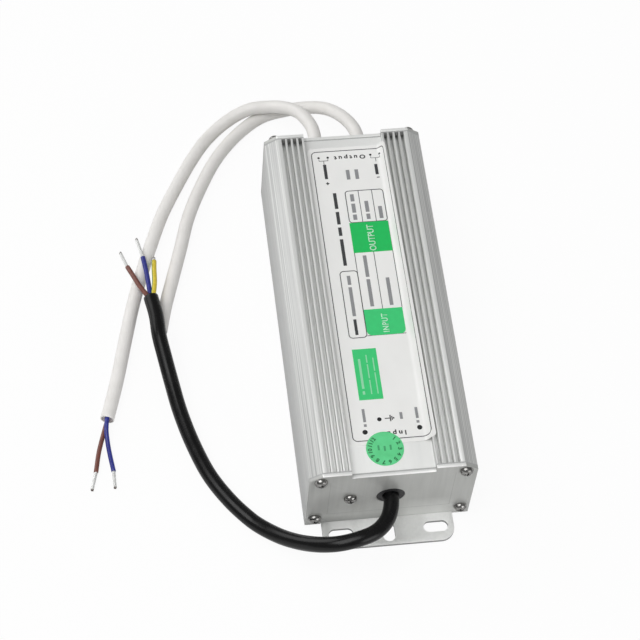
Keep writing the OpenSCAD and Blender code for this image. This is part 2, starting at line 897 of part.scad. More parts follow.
// Glass fuse with end caps, lying along the case
module fuse() {
    glass_radius = 2.4;
    cap_radius = 2.6;
    cap_length = 5;
    length = 20;
    axis_height = 4.2;
    wire_radius = 0.6;
    color("#d8d8d0")
        on_board(fuse_box) {
            translate([0, -length / 2, axis_height])
                rotate([-90, 0, 0]) cylinder(h = length, r = glass_radius);
            for (end = [0, 1])
                mirror([0, end, 0]) {
                    translate([0, length / 2 - cap_length, axis_height])
                        rotate([-90, 0, 0]) cylinder(h = cap_length, r = cap_radius);
                    translate([0, length / 2 - cap_length / 2, 0])
                        cylinder(h = axis_height, r = wire_radius);
                }
        }
}

// Disc on two legs, standing across the case
module disc_part(box) {
    radius = box[2] / 2;
    on_board(box) {
        translate([0, box[3] / 2, box[4] - radius])
            rotate([90, 0, 0]) cylinder(h = box[3], r = radius);
        for (x = [-radius / 2, radius / 2])
            translate([x, 0, 0]) cylinder(h = box[4] - radius, r = leg_radius);
    }
}

module varistor() {
    color("#2c59a8") disc_part(varistor_box);
}

module y_capacitor() {
    color("#2b7fb8") disc_part(y_capacitor_box);
}

module x_capacitor() {
    lead_length = 0.5;
    lead_pitch = 15;
    color("#e0c23c")
        on_board(x_capacitor_box) {
            translate([0, 0, lead_length])
                block(x_capacitor_box[2], x_capacitor_box[3], x_capacitor_box[4] - lead_length);
            for (side = [-1, 1])
                translate([side * lead_pitch / 2, 0, 0]) cylinder(h = lead_length + 1, r = leg_radius);
        }
}

// Ring core lying flat, with its winding as two half rings or one broken ring
winding_layer = 1.2;
ring_margin = winding_layer + 0.3;

module ring_core(box, core_width, core_height, lift) {
    radius = box[2] / 2 - ring_margin;
    on_board(box)
        translate([0, 0, lift])
            difference() {
                cylinder(h = core_height, r = radius);
                translate([0, 0, -over]) cylinder(h = core_height + 2 * over, r = radius - core_width);
            }
}

module ring_winding(box, core_width, core_height, lift, start, sweep) {
    radius = box[2] / 2 - ring_margin;
    layer = winding_layer;
    clear = 0.1;
    on_board(box)
        translate([0, 0, lift])
            rotate([0, 0, start])
                rotate_extrude(angle = sweep)
                    difference() {
                        translate([radius - core_width - layer, -layer])
                            square([core_width + 2 * layer, core_height + 2 * layer]);
                        translate([radius - core_width - clear, -clear])
                            square([core_width + 2 * clear, core_height + 2 * clear]);
                    }
}

line_choke_lift = 1.3;
line_choke_width = 4.5;
line_choke_height = 6;

module line_choke_core() {
    color("#4a4d50") ring_core(line_choke_box, line_choke_width, line_choke_height, line_choke_lift);
}

module line_choke_coils() {
    color("#b5642c")
        for (start = [20, 200])
            ring_winding(line_choke_box, line_choke_width, line_choke_height, line_choke_lift, start, 140);
}

output_choke_lift = 1.3;
output_choke_width = 4;
output_choke_height = 5.5;

module output_choke_core() {
    color("#d8c040")
        ring_core(output_choke_box, output_choke_width, output_choke_height, output_choke_lift);
}

module output_choke_coil() {
    color("#b5642c")
        ring_winding(output_choke_box, output_choke_width, output_choke_height, output_choke_lift, 25, 310);
}

// Flat body standing on four legs
module bridge_rectifier() {
    leg_length = 3;
    leg_pitch = 5.08;
    bridge_leg_radius = 0.5;
    color("#26282a")
        on_board(bridge_box) {
            translate([0, 0, leg_length])
                block(bridge_box[2], bridge_box[3], bridge_box[4] - leg_length);
            for (i = [-1.5 : 1 : 1.5])
                translate([i * leg_pitch, 0, 0]) cylinder(h = leg_length + 1, r = bridge_leg_radius);
        }
}

// Can of a standing capacitor, with the rolled groove near its foot
module can(radius, height) {
    groove_z = 2.5;
    groove_radius = 0.6;
    difference() {
        cylinder(h = height, r = radius);
        translate([0, 0, groove_z])
            rotate_extrude()
                translate([radius + groove_radius * 0.4, 0]) circle(r = groove_radius);
    }
}

module bulk_capacitors() {
    color("#1f2a44")
        for (place = bulk_capacitor_places) on_board(place) can(bulk_capacitor_radius, bulk_capacitor_height);
}

module output_capacitors() {
    color("#1f2a44")
        for (place = output_capacitor_places)
            on_board(place) can(output_capacitor_radius, output_capacitor_height);
}

// Eight-legged control chip
module control_chip() {
    leg_pitch = 2.54;
    leg_width = 0.5;
    leg_length = 0.8;
    leg_height = 2;
    leg_reach = 0.5;
    body_lift = 0.5;
    color("#26282a")
        on_board(control_chip_box) {
            translate([0, 0, body_lift])
                block(control_chip_box[2], control_chip_box[3] - 2 * leg_reach,
                      control_chip_box[4] - body_lift);
            for (i = [-1.5 : 1 : 1.5], side = [-1, 1])
                translate([i * leg_pitch, side * (control_chip_box[3] - leg_length) / 2, 0])
                    block(leg_width, leg_length, leg_height);
        }
}

// Power part standing against its heat spreader, on three legs
module power_part(y) {
    body_width = 10;
    body_height = 15.5;
    leg_pitch = 2.54;
    leg_inset = 2;
    x = cavity_half - spreader_thickness - transistor_thickness;
    color("#26282a") {
        translate([x, y - body_width / 2, transistor_bottom])
            cube([transistor_thickness, body_width, min(body_height, spreader_top - transistor_bottom)]);
        for (i = [-1 : 1])
            translate([x + leg_inset, y + i * leg_pitch, board_top])
                cylinder(h = transistor_bottom - board_top + 1, r = leg_radius);
    }
}

module switching_transistor() {
    power_part(transistor_y);
}

module output_rectifier() {
    power_part(rectifier_y);
}

// Bars that carry the heat of the two power parts into the side wall
module heat_spreaders() {
    color("#b4b8bc")
        for (y = [transistor_y, rectifier_y])
            translate([cavity_half - spreader_thickness, y - spreader_length / 2, spreader_bottom])
                cube([spreader_thickness, spreader_length, spreader_top - spreader_bottom]);
}

// Transformer lying down: its middle leg runs along the case
core_leg = 10;
core_thickness = 11;
window_width = 7;
window_length = 20;
transformer_axis = 11.7;
bobbin_wall = 0.9;
bobbin_gap = 0.1;
flange = 0.9;
flange_gap = 0.3;
yoke = 4.5;
outer_leg = 4;

module transformer_core() {
    width = core_leg + 2 * window_width + 2 * outer_leg;
    color("#3c3f42")
        on_board(transformer_box)
            translate([0, 0, transformer_axis - core_thickness / 2])
                difference() {
                    block(width, window_length + 2 * yoke, core_thickness);
                    for (side = [-1, 1])
                        translate([side * (core_leg + window_width) / 2, 0, -over])
                            block(window_width, window_length, core_thickness + 2 * over);
                }
}

// A sleeve round the middle leg with a flange at each end, on two feet
module transformer_bobbin() {
    bore_width = core_leg + 2 * bobbin_gap;
    bore_height = core_thickness + 2 * bobbin_gap;
    length = window_length - 2 * bobbin_gap;
    flange_width = core_leg + 2 * window_width - 2 * flange_gap;
    flange_height = 22;
    color("#202224")
        on_board(transformer_box)
            translate([0, 0, transformer_axis])
                difference() {
                    union() {
                        translate([0, 0, -bore_height / 2 - bobbin_wall])
                            block(bore_width + 2 * bobbin_wall, length, bore_height + 2 * bobbin_wall);
                        for (end = [-1, 1])
                            translate([0, end * (length - flange) / 2, -transformer_axis])
                                block(flange_width, flange, transformer_axis + flange_height / 2);
                    }
                    translate([0, 0, -bore_height / 2])
                        block(bore_width, length + 2 * over, bore_height);
                }
}

module transformer_winding() {
    bobbin_width = core_leg + 2 * bobbin_gap + 2 * bobbin_wall;
    bobbin_height = core_thickness + 2 * bobbin_gap + 2 * bobbin_wall;
    clear = 0.1;
    length = window_length - 2 * bobbin_gap - 2 * flange - 2 * clear;
    layer = 3.6;
    color("#d9a43a")
        on_board(transformer_box)
            translate([0, 0, transformer_axis])
                difference() {
                    translate([0, 0, -bobbin_height / 2 - layer])
                        block(bobbin_width + 2 * layer, length, bobbin_height + 2 * layer);
                    translate([0, 0, -bobbin_height / 2 - clear])
                        block(bobbin_width + 2 * clear, length + 2 * over, bobbin_height + 2 * clear);
                }
}

case();
base_plate();
front_end_plate();
rear_end_plate();
front_gasket();
rear_gasket();
front_screws();
rear_screws();
earth_screw();
earth_lug();
earth_nut();
input_grommet();
output_grommet_left();
output_grommet_right();
label();
date_sticker();
input_lead();
input_brown_core();
input_blue_core();
input_earth_core();
input_strands();
output_lead_left();
output_left_brown_core();
output_left_blue_core();
output_left_strands();
output_lead_right();
output_right_brown_core();
output_right_blue_core();
output_right_strands();
input_inner_wires();
output_inner_wires();
insulation_sheet();
circuit_board();
potting();
fuse();
varistor();
x_capacitor();
y_capacitor();
line_choke_core();
line_choke_coils();
bridge_rectifier();
bulk_capacitors();
control_chip();
switching_transistor();
transformer_core();
transformer_bobbin();
transformer_winding();
output_rectifier();
heat_spreaders();
output_choke_core();
output_choke_coil();
output_capacitors();
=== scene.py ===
import math

import bpy
from mathutils import Matrix, Vector


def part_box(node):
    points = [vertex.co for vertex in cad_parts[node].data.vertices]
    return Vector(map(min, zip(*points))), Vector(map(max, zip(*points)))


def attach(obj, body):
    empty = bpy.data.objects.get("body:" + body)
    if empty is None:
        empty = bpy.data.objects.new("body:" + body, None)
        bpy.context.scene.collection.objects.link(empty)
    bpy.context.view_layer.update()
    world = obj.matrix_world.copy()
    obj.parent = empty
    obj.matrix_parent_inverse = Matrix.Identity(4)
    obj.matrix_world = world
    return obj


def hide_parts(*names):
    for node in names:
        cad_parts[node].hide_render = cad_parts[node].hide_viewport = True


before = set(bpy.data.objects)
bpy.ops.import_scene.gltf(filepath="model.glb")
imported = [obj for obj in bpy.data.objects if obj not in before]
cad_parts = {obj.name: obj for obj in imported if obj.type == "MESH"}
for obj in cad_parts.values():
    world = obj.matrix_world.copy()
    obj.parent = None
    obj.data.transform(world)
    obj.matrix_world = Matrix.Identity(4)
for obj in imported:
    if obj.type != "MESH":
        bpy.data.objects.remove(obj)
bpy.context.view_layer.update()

# Camera: a long lens above the input end, a little to the left and rolled, which looks down at the case.
# Its place in metres, its angles in degrees and its focal length in mm were fitted to the photo.
camera_place = Vector((-0.12498, -0.48431, 0.83128))
yaw, pitch, roll = (math.radians(degrees) for degrees in (12.311, 58.433, 6.264))
focal_length = 122.87
ahead = Vector((math.sin(yaw) * math.cos(pitch), math.cos(yaw) * math.cos(pitch), -math.sin(pitch)))
level = Vector((math.cos(yaw), -math.sin(yaw), 0))
upward = level.cross(ahead)
across = math.cos(roll) * level + math.sin(roll) * upward
top = math.cos(roll) * upward - math.sin(roll) * level
bpy.ops.object.camera_add()
camera = bpy.context.object
camera.name = "camera"
camera.data.lens = focal_length
camera.data.sensor_width = 36
camera.data.clip_end = 20
camera.matrix_world = (Matrix.Translation(camera_place)
                       @ Matrix((across, top, -ahead)).transposed().to_4x4())
bpy.context.scene.camera = camera


# Studio: a white sheet under the object, a pale room and three soft boxes. The sheet shows nearly white to
# the camera and in gloss, and keeps the shadows.
def arithmetic(operation, turned=False):
    """An operator that adds its Math node. A turned one has the other number on its left."""
    def operator(self, other):
        first, second = (other, self) if turned else (self, other)
        return self.finish.node("ShaderNodeMath", {"operation": operation}, {0: first, 1: second})
    return operator


class Value:
    """A number, colour or vector inside a material. Arithmetic on numbers adds their Math nodes."""

    def __init__(self, finish, socket):
        self.finish, self.socket = finish, socket

    __add__, __radd__ = arithmetic("ADD"), arithmetic("ADD", True)
    __sub__, __rsub__ = arithmetic("SUBTRACT"), arithmetic("SUBTRACT", True)
    __mul__, __rmul__ = arithmetic("MULTIPLY"), arithmetic("MULTIPLY", True)
    __gt__, __lt__ = arithmetic("GREATER_THAN"), arithmetic("LESS_THAN")

    def maths(self, operation):
        return self.finish.node("ShaderNodeMath", {"operation": operation}, {0: self})

    def __abs__(self):
        return self.maths("ABSOLUTE")

    def spread(self, low, high, start=0.3, end=0.7):
        """This number's range from start to end, stretched over low to high."""
        return self.finish.node("ShaderNodeMapRange", None, {0: self, 1: start, 2: end, 3: low, 4: high})


def tint(red, green, blue):
    """A colour as the eye reads it, 0 to 255, turned into the light that a material works in."""
    parts = [c / 255 for c in (red, green, blue)]
    return [c / 12.92 if c <= 0.04045 else ((c + 0.055) / 1.055) ** 2.4 for c in parts] + [1]


class Finish:
    """A material on one Principled surface. What is the same all over it is set on the surface's sockets."""

    def __init__(self, name, colour, roughness, **fixed):
        self.material = bpy.data.materials.new(name)
        self.material.use_nodes = True
        self.tree = self.material.node_tree
        self.surface = self.tree.nodes["Principled BSDF"]
        self.set("Base Color", colour)
        self.set("Roughness", roughness)
        for socket, value in fixed.items():
            self.set(socket.replace("_", " "), value)

    def node(self, kind, settings=None, sockets=None, output=0):
        """Adds a node: first its settings, then the values or links of its sockets. Gives one output."""
        made = self.tree.nodes.new(kind)
        for key, value in (settings or {}).items():
            setattr(made, key, value)
        for key, value in (sockets or {}).items():
            self.feed(made.inputs[key], value)
        return Value(self, made.outputs[output])

    def feed(self, socket, value):
        if isinstance(value, Value):
            self.tree.links.new(value.socket, socket)
        else:
            socket.default_value = value

    def set(self, socket, value):
        self.feed(self.surface.inputs[socket], value)

    def mix(self, factor, first, second):
        """Two colours, which the node keeps in its inputs 6 and 7, mixed in its output 2."""
        return self.node("ShaderNodeMix", {"data_type": "RGBA"}, {0: factor, 6: first, 7: second}, 2)

    def coordinates(self, kind="Object"):
        return self.node("ShaderNodeTexCoord", output=kind)

    def noise(self, grain, detail, kind="Object", rough=0.5):
        """Noise from 0 to 1, its features so many a metre, which may differ along the three axes."""
        grain = grain if isinstance(grain, tuple) else (grain, grain, grain)
        place = self.node("ShaderNodeVectorMath", {"operation": "MULTIPLY"},
                          {0: self.coordinates(kind), 1: grain})
        return self.node("ShaderNodeTexNoise", None,
                         {"Vector": place, "Scale": 1, "Detail": detail, "Roughness": rough})

    def bump(self, height, depth, strength):
        self.set("Normal", self.node("ShaderNodeBump", None,
                                     {"Strength": strength, "Distance": depth, "Height": height}))


WHITE = (1, 1, 1, 1)
sheet_size, sheet_drop = 6, 0.0003  # in metres: the sheet lies just below what stands on it
bpy.ops.mesh.primitive_plane_add(size=sheet_size, location=(0, 0, -sheet_drop))
floor = bpy.context.object
floor.name = "studio_floor"
sheet = Finish("studio_sheet", (0.9, 0.9, 0.9, 1), 0.9)
seen = sheet.node("ShaderNodeLightPath", output="Is Camera Ray")
glossed = sheet.node("ShaderNodeLightPath", output="Is Glossy Ray")
glow = sheet.node("ShaderNodeEmission", None, {"Color": WHITE, "Strength": 1})
white_share = seen * 0.93 + glossed * 0.25
sheet_shown = sheet.node("ShaderNodeMixShader", None,
                         {0: white_share, 1: Value(sheet, sheet.surface.outputs[0]), 2: glow})
sheet.feed(sheet.tree.nodes["Material Output"].inputs["Surface"], sheet_shown)
floor.data.materials.append(sheet.material)

room = bpy.data.worlds.new("room")
room.use_nodes = True
room_nodes = room.node_tree.nodes
room_light = room_nodes["Background"]
room_light.inputs["Strength"].default_value = 0.28
room_seen = room_nodes.new("ShaderNodeBackground")
room_ray = room_nodes.new("ShaderNodeLightPath")
room_mix = room_nodes.new("ShaderNodeMixShader")
for background in (room_light, room_seen):
    background.inputs["Color"].default_value = WHITE
for output, socket in ((room_ray.outputs["Is Camera Ray"], room_mix.inputs[0]),
                       (room_light.outputs[0], room_mix.inputs[1]),
                       (room_seen.outputs[0], room_mix.inputs[2]),
                       (room_mix.outputs[0], room_nodes["World Output"].inputs["Surface"])):
    room.node_tree.links.new(output, socket)
bpy.context.scene.world = room

for lamp_name, place, size, power in (("key_box", (-1.05, 1.0, 0.7), 1.1, 6.5),
                                      ("top_box", (-0.7, -0.35, 1.8), 1.6, 24),
                                      ("front_box", (0.9, -1.3, 0.4), 0.9, 6)):
    bpy.ops.object.light_add(type="AREA", location=place)
    lamp = bpy.context.object
    lamp.name = lamp_name
    lamp.data.size = size
    lamp.data.energy = power
    lamp.rotation_euler = (-Vector(place)).to_track_quat("-Z", "Y").to_euler()
bpy.context.scene.view_settings.view_transform = "Standard"


# Leads: one black mains lead of 6.6 mm and two white output leads of 6 mm, extruded PVC sheaths filled round
# their cores, each clamped in its grommet and cut square at the free end.
MM = 0.001
BLACK_RADIUS = 3.3 * MM
WHITE_RADIUS = 3 * MM
SHEATH_WALL = 0.5 * MM
FILLING_SUNK = 0.35 * MM  # how deep the filling lies inside a sheath's cut end

# The leads' middles in mm, from inside the covers to their cut ends, as in the CAD
INPUT_ROUTE = [(0, -78, 22), (0, -88, 22), (-2.5, -96, 22), (-8, -102, 23), (-15.5, -105, 23.5),
               (-24, -105.5, 21.5), (-32, -103, 17), (-40, -98, 11), (-48, -91.5, 6), (-57, -83, 3.3),
               (-65.5, -72.5, 3.3), (-73, -59.5, 3.3), (-78.5, -44, 3.3), (-82.5, -28.5, 4),
               (-85, -14.5, 5.5), (-87, -2.5, 7.5), (-88.5, 7.5, 9), (-89, 17.5, 9.5), (-90.5, 27.5, 9)]
OUTPUT_LEFT_ROUTE = [(-10, 78, 22), (-10, 90, 22), (-9.5, 99, 22), (-10.5, 107.5, 20.5), (-14.5, 116.5, 18),
                     (-20.5, 122.5, 14.5), (-27.5, 126.5, 10.5), (-36.5, 127.5, 8), (-46, 124.5, 5),
                     (-56, 117, 3), (-65, 105, 3), (-74, 89.5, 3), (-82, 74, 3), (-88.5, 57.5, 3),
                     (-94, 42, 3), (-99, 26, 3), (-103.5, 9, 3), (-108.5, -10.5, 3), (-114, -29, 3)]
OUTPUT_RIGHT_ROUTE = [(10, 78, 22), (10, 90, 22), (10, 99.5, 21.5), (8, 107.5, 19.5), (4, 117.5, 14),
                      (-1.5, 124, 10), (-9, 128, 6), (-19, 129, 3.5), (-31, 126, 3), (-43, 117, 3),
                      (-54, 104, 3), (-63, 88, 3), (-70, 72, 3), (-75, 55.5, 3), (-80, 39.5, 3),
                      (-84.5, 25, 3), (-87.5, 13, 3)]


def through(route, floor_gap, parts=8):
    """A smooth line through a route's points, in metres, no lower than floor_gap over the floor."""
    points = [Vector(p) * MM for p in route]
    chain = [2 * points[0] - points[1], *points, 2 * points[-1] - points[-2]]
    line = []
    for a, b, c, d in zip(chain, chain[1:], chain[2:], chain[3:]):
        for t in (k / parts for k in range(parts)):
            line.append(0.5 * (2 * b + (c - a) * t + (2 * a - 5 * b + 4 * c - d) * t * t
                               + (3 * b - 3 * c + d - a) * t ** 3))
    line.append(points[-1])
    for point in line:
        point.z = max(point.z, floor_gap)
    return line


def headings(line):
    return [(line[min(i + 1, len(line) - 1)] - line[max(i - 1, 0)]).normalized() for i in range(len(line))]


def shown(name, mesh):
    """A new object of a mesh, in the scene."""
    piece = bpy.data.objects.new(name, mesh)
    bpy.context.scene.collection.objects.link(piece)
    return piece


def done(piece, finish, slot, *nodes):
    """Gives a finished piece its material, hangs it under the root and hides the CAD nodes that it stands
    for. Its slot is not used.
    """
    piece.data.materials.clear()
    piece.data.materials.append(finish.material)
    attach(piece, "root")
    if nodes:
        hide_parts(*nodes)
    return piece


def swept(name, rings, sides, finish, slot):
    """A closed tube through rings of middle, direction and radius, with no twist. Its UV map runs round it
    and along it in metres, from the last ring back. A radius may depend on the angle."""
    corners, walls, spans = [], [], [0]
    side = rings[0][1].orthogonal().normalized()
    for i, (middle, way, radius) in enumerate(rings):
        side = (side - side.dot(way) * way).normalized()
        rise = way.cross(side)
        for k in range(sides):
            turn = 2 * math.pi * k / sides
            reach = radius(turn) if callable(radius) else radius
            corners.append(middle + reach * (math.cos(turn) * side + math.sin(turn) * rise))
        if i:
            last_middle, _, last_radius = rings[i - 1]
            span = (middle - last_middle).length
            if not callable(radius) and not callable(last_radius):
                span += abs(radius - last_radius)
            spans.append(spans[-1] + span)
            for k in range(sides):
                here, next_to_it = (i - 1) * sides + k, (i - 1) * sides + (k + 1) % sides
                walls.append((here, next_to_it, next_to_it + sides, here + sides))
    first_cap = tuple(range(sides - 1, -1, -1))
    last_cap = tuple(range(len(corners) - sides, len(corners)))
    mesh = bpy.data.meshes.new(name)
    mesh.from_pydata(corners, [], [*walls, first_cap, last_cap])
    chart = mesh.uv_layers.new(name="along").data
    for face in mesh.polygons:
        places = [divmod(mesh.loops[j].vertex_index, sides) for j in face.loop_indices]
        closes_round = len(places) == 4 and max(k for ring, k in places) == sides - 1
        for j, (ring, k) in zip(face.loop_indices, places):
            chart[j].uv = (1.0 if closes_round and k == 0 else k / sides, spans[-1] - spans[ring])
        face.use_smooth = True
    return done(shown(name, mesh), finish, slot)


def cut_tube(name, line, radius, wall, sunk, sides, finish, slot):
    """A sheath or insulation along a line, cut square at its far end and sunk there inside its wall. The
    edges of the cut are rounded a little, by shares of the wall."""
    ways = headings(line)
    end, way = line[-1], ways[-1]
    bore = radius - wall
    hidden_end = (line[0], ways[0], radius * 0.6)
    rings = [hidden_end] + [(point, heading, radius) for point, heading in zip(line[:-1], ways[:-1])]
    for back, reach in ((0.16 * wall, radius - 0.01 * wall), (0.05 * wall, radius - 0.08 * wall),
                        (0, radius - 0.25 * wall), (0, bore + 0.15 * wall),
                        (0.12 * wall, bore), (sunk, bore)):
        rings.append((end - back * way, way, reach))
    return swept(name, rings, sides, finish, slot)


def mottled(name, colour, other, grain, detail, roughness, share=(0, 1), skin=None, **fixed):
    """A material that a cloudy grain takes from one colour towards the other, by the share that it is
    spread over, and from one roughness to the other. Its skin is the depth and strength of a bump."""
    finish = Finish(name, colour, roughness[0], **fixed)
    cloud = finish.noise(grain, detail)
    finish.skin_colour = finish.mix(cloud.spread(*share), colour, other)
    finish.set("Base Color", finish.skin_colour)
    finish.set("Roughness", cloud.spread(*roughness))
    if skin:
        finish.bump(cloud, *skin)
    return finish


def sheath_finish(name, colour, soil, roughness, shine):
    """Soft PVC: a faint cloudy soil, fine drawing lines along it and a satin skin."""
    finish = mottled(name, colour, soil, 160, 4, (roughness - 0.05, roughness + 0.07),
                     (0, 0.8, 0.42, 0.75), Specular_IOR_Level=shine)
    finish.bump(finish.noise((26, 30, 1), 2, "UV"), 0.05 * MM, 0.3)
    return finish
black_sheath = sheath_finish("black_sheath", tint(8, 8, 9), tint(14, 14, 15), 0.25, 0.3)
white_sheath = sheath_finish("white_sheath", tint(234, 232, 229), tint(227, 225, 221), 0.42, 0.5)

leads = {}
for lead_name, route, radius, finish, slot in (
        ("input_lead", INPUT_ROUTE, BLACK_RADIUS, black_sheath, "black_sheath"),
        ("output_lead_left", OUTPUT_LEFT_ROUTE, WHITE_RADIUS, white_sheath, "white_sheath"),
        ("output_lead_right", OUTPUT_RIGHT_ROUTE, WHITE_RADIUS, white_sheath, "white_sheath")):
    line = through(route, radius)
    piece = cut_tube(lead_name + "_sheath", line, radius, SHEATH_WALL, FILLING_SUNK, 32, finish, slot)
    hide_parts(lead_name)
    leads[lead_name] = {"piece": piece, "line": line, "route": route, "radius": radius, "on_it": []}


# Cores: soft PVC insulation of 2 to 2.2 mm round a twist of tinned copper wires, which is bared at the end
# and cut. Brown and blue are plain, the earth core is yellow with a green stripe.
INSULATION_WALL = 0.36 * MM
INSULATION_SUNK = 0.9 * MM  # how deep the bore of a core's cut end is
WIRES_INSIDE = 0.8 * MM  # length of bare wire inside the cut end of its insulation
CORE_INSIDE = 1.6  # length of core inside the sheath's cut end, in mm
WIRE_RADIUS = 0.2 * MM
WIRE_TURN = 7.5 * MM  # length of a twist in which its wires go round once
WIRE_STEPS = 12

# Each wire of a twist: how far it lies from the middle, in mm, and where round it, in turns, it starts
WIRES = [(0.22, k / 3) for k in range(3)] + [(0.56, k / 9 + 0.05) for k in range(9)]


def within(value, low, high):
    return (value > low) * (value < high)


def core_finish(name, colour, dark, stripe=None):
    """Coloured insulation, deeper at the skin's low spots. A stripe runs along one side."""
    finish = mottled(name, colour, dark, 700, 3, (0.34, 0.46), (0, 0.7), (0.04 * MM, 0.4), Coat_Weight=0.15)
    if stripe:
        turns = finish.node("ShaderNodeSeparateXYZ", None, {0: finish.coordinates("UV")}, "X")
        finish.set("Base Color", finish.mix(within(turns, 0.46, 0.75), finish.skin_colour, stripe))
    return finish
brown_insulation = core_finish("brown_insulation", tint(124, 72, 60), tint(94, 54, 46))
blue_insulation = core_finish("blue_insulation", tint(44, 52, 146), tint(30, 36, 110))
earth_insulation = core_finish("earth_insulation", tint(226, 204, 62), tint(204, 180, 46), tint(96, 150, 60))

tinned_copper = Finish("tinned_copper", tint(238, 239, 238), 0.32, Metallic=0.35)
from_tip = tinned_copper.node("ShaderNodeSeparateXYZ", None, {0: tinned_copper.coordinates("UV")}, "Y")
tip_shade = from_tip.spread(1, 0, 0.2 * MM, 1.1 * MM)
dull = tinned_copper.noise(900, 3).spread(0, 0.5)
wire_skin = tinned_copper.mix(dull, tint(238, 239, 238), tint(196, 196, 192))
tinned_copper.set("Base Color", tinned_copper.mix(tip_shade, wire_skin, tint(104, 92, 86)))
tinned_copper.set("Roughness", dull.spread(0.26, 0.5, 0, 0.5))


def pick(*pieces):
    """Selects these pieces alone; the first is the one that operators act on."""
    bpy.ops.object.select_all(action="DESELECT")
    for piece in pieces:
        piece.select_set(True)
    bpy.context.view_layer.objects.active = pieces[0]


def joined(name, pieces):
    """Joins pieces into the first one, which takes the name."""
    pick(*pieces)
    if len(pieces) > 1:
        bpy.ops.object.join()
    pieces[0].name = name
    return pieces[0]


def bare_wires(name, ends):
    """The bared ends of a lead's cores: each a twist of twelve thin wires, cut to slightly uneven lengths."""
    twists = []
    for start, tip in ends:
        way = (tip - start).normalized()
        side = way.orthogonal().normalized()
        rise = way.cross(side)
        for k, (out, phase) in enumerate(WIRES):
            reach = (tip - start).length * (1 - 0.01 * (k * 5 % 7))
            line = []
            for share in (step / WIRE_STEPS for step in range(WIRE_STEPS + 1)):
                turn = 2 * math.pi * (phase + share * reach / WIRE_TURN)
                wide = out * MM * (1 - 0.12 * share ** 2)
                line.append(start + share * reach * way
                            + wide * (math.cos(turn) * side + math.sin(turn) * rise))
            ways = headings(line)
            rings = [(point, heading, WIRE_RADIUS) for point, heading in zip(line, ways)]
            rings.append((line[-1] + 0.25 * WIRE_RADIUS * ways[-1], ways[-1], 0.6 * WIRE_RADIUS))
            twists.append(swept(f"{name}_{len(twists)}", rings, 6, tinned_copper, "tinned_copper"))
    return joined(name, twists)


# Each family of cores: its lead and its cores' radius. Each core: its colour, how far sideways and above the
# sheath's middle it comes out, the points that it follows, and where its wires end, in mm
CORES = {
    "input": ("input_lead", 1.1 * MM, (
        ("brown", brown_insulation, -1.15, 0.65, [(-94.8, 33.5, 8.8), (-96.9, 39, 7.8), (-99.5, 46.4, 5.6)],
         (-102.1, 56.2, 2.8)),
        ("blue", blue_insulation, 0, -1.3, [(-91, 36.4, 7.6), (-91.5, 43.3, 7.3), (-92.3, 50, 7.2)],
         (-94.5, 60, 7.5)),
        ("earth", earth_insulation, 1.15, 0.65, [(-88.2, 35.6, 8.4), (-87.8, 43.4, 6.8), (-87.4, 48.5, 5.6)],
         (-87.3, 50.7, 4.9)))),
    "output_left": ("output_lead_left", 1 * MM, (
        ("brown", brown_insulation, 0, -1.1, [(-115.4, -33, 1.4), (-118.5, -43.1, 1.1), (-120.5, -53.1, 1.1)],
         (-122.8, -61.6, 0.9)),
        ("blue", blue_insulation, 0, 1.1, [(-114.7, -34, 3.4), (-114.6, -38.7, 1.9), (-114.1, -44.5, 1.1),
                                           (-113, -53.3, 1.1)], (-112.9, -61.4, 0.9)))),
    "output_right": ("output_lead_right", 1 * MM, (
        ("brown", brown_insulation, 1.1, -0.5, [(-88.4, 7, 1.8), (-87.5, 1, 1.1), (-86.5, -5, 1.1)],
         (-85.8, -11.5, 0.9)),
        ("blue", blue_insulation, -1.1, -0.5, [(-86.1, 7, 1.8), (-85.2, 1, 1.1), (-84.2, -5, 1.1)],
         (-83.5, -11.5, 0.9))))}

for family, (lead_name, radius, cores) in CORES.items():
    lead = leads[lead_name]
    last, before = Vector(lead["route"][-1]), Vector(lead["route"][-2])
    way = (last - before).normalized()
    side = way.cross(Vector((0, 0, 1))).normalized()
    rise = side.cross(way)
    bare = []
    for colour_name, finish, sideways, above, points, tip in cores:
        start = last + sideways * side + above * rise
        line = through([start - CORE_INSIDE * way, start, *points], radius, 6)
        name = f"{family}_{colour_name}_core"
        piece = cut_tube(name + "_insulation", line, radius, INSULATION_WALL, INSULATION_SUNK, 20, finish,
                         f"{colour_name}_insulation")
        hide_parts(name)
        lead["on_it"].append(piece)
        tip = Vector(tip) * MM
        bare.append((line[-1] - WIRES_INSIDE * (tip - line[-1]).normalized(), tip))
    wires = bare_wires(family + "_bare_wires", bare)
    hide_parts(family + "_strands")
    lead["on_it"].append(wires)

for lead in leads.values():
    line = lead["line"]
    length = sum((b - a).length for a, b in zip(line, line[1:]))
    2 * lead["radius"]


# Case: one extrusion of satin anodised aluminium with a label channel, ribs and grooves, sloped shoulders,
# screw ports, board rails and feet, sawn to length. The die leaves fine lines that run its whole length.
# Its sizes and places are in mm, from the middle of its foot.
HALF_WIDTH, CASE_END, CASE_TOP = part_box("case")[1] / MM
CHANNEL_DEPTH = 3.2
CHANNEL_FLOOR = CASE_TOP - CHANNEL_DEPTH
CHANNEL_HALF = 17.5
GROOVE_PITCH = 2.5
GROOVES_END = CHANNEL_HALF + 4 * GROOVE_PITCH
SHOULDER = HALF_WIDTH - 5.7
NEAR = 0.1  # how far an area keeps from an edge, or reaches past it


def edit(select="SELECT"):
    """Opens the active piece in edit mode, all of it selected unless told otherwise."""
    bpy.ops.object.mode_set(mode="EDIT")
    bpy.ops.mesh.select_all(action=select)


def leave_edit():
    bpy.ops.object.mode_set(mode="OBJECT")


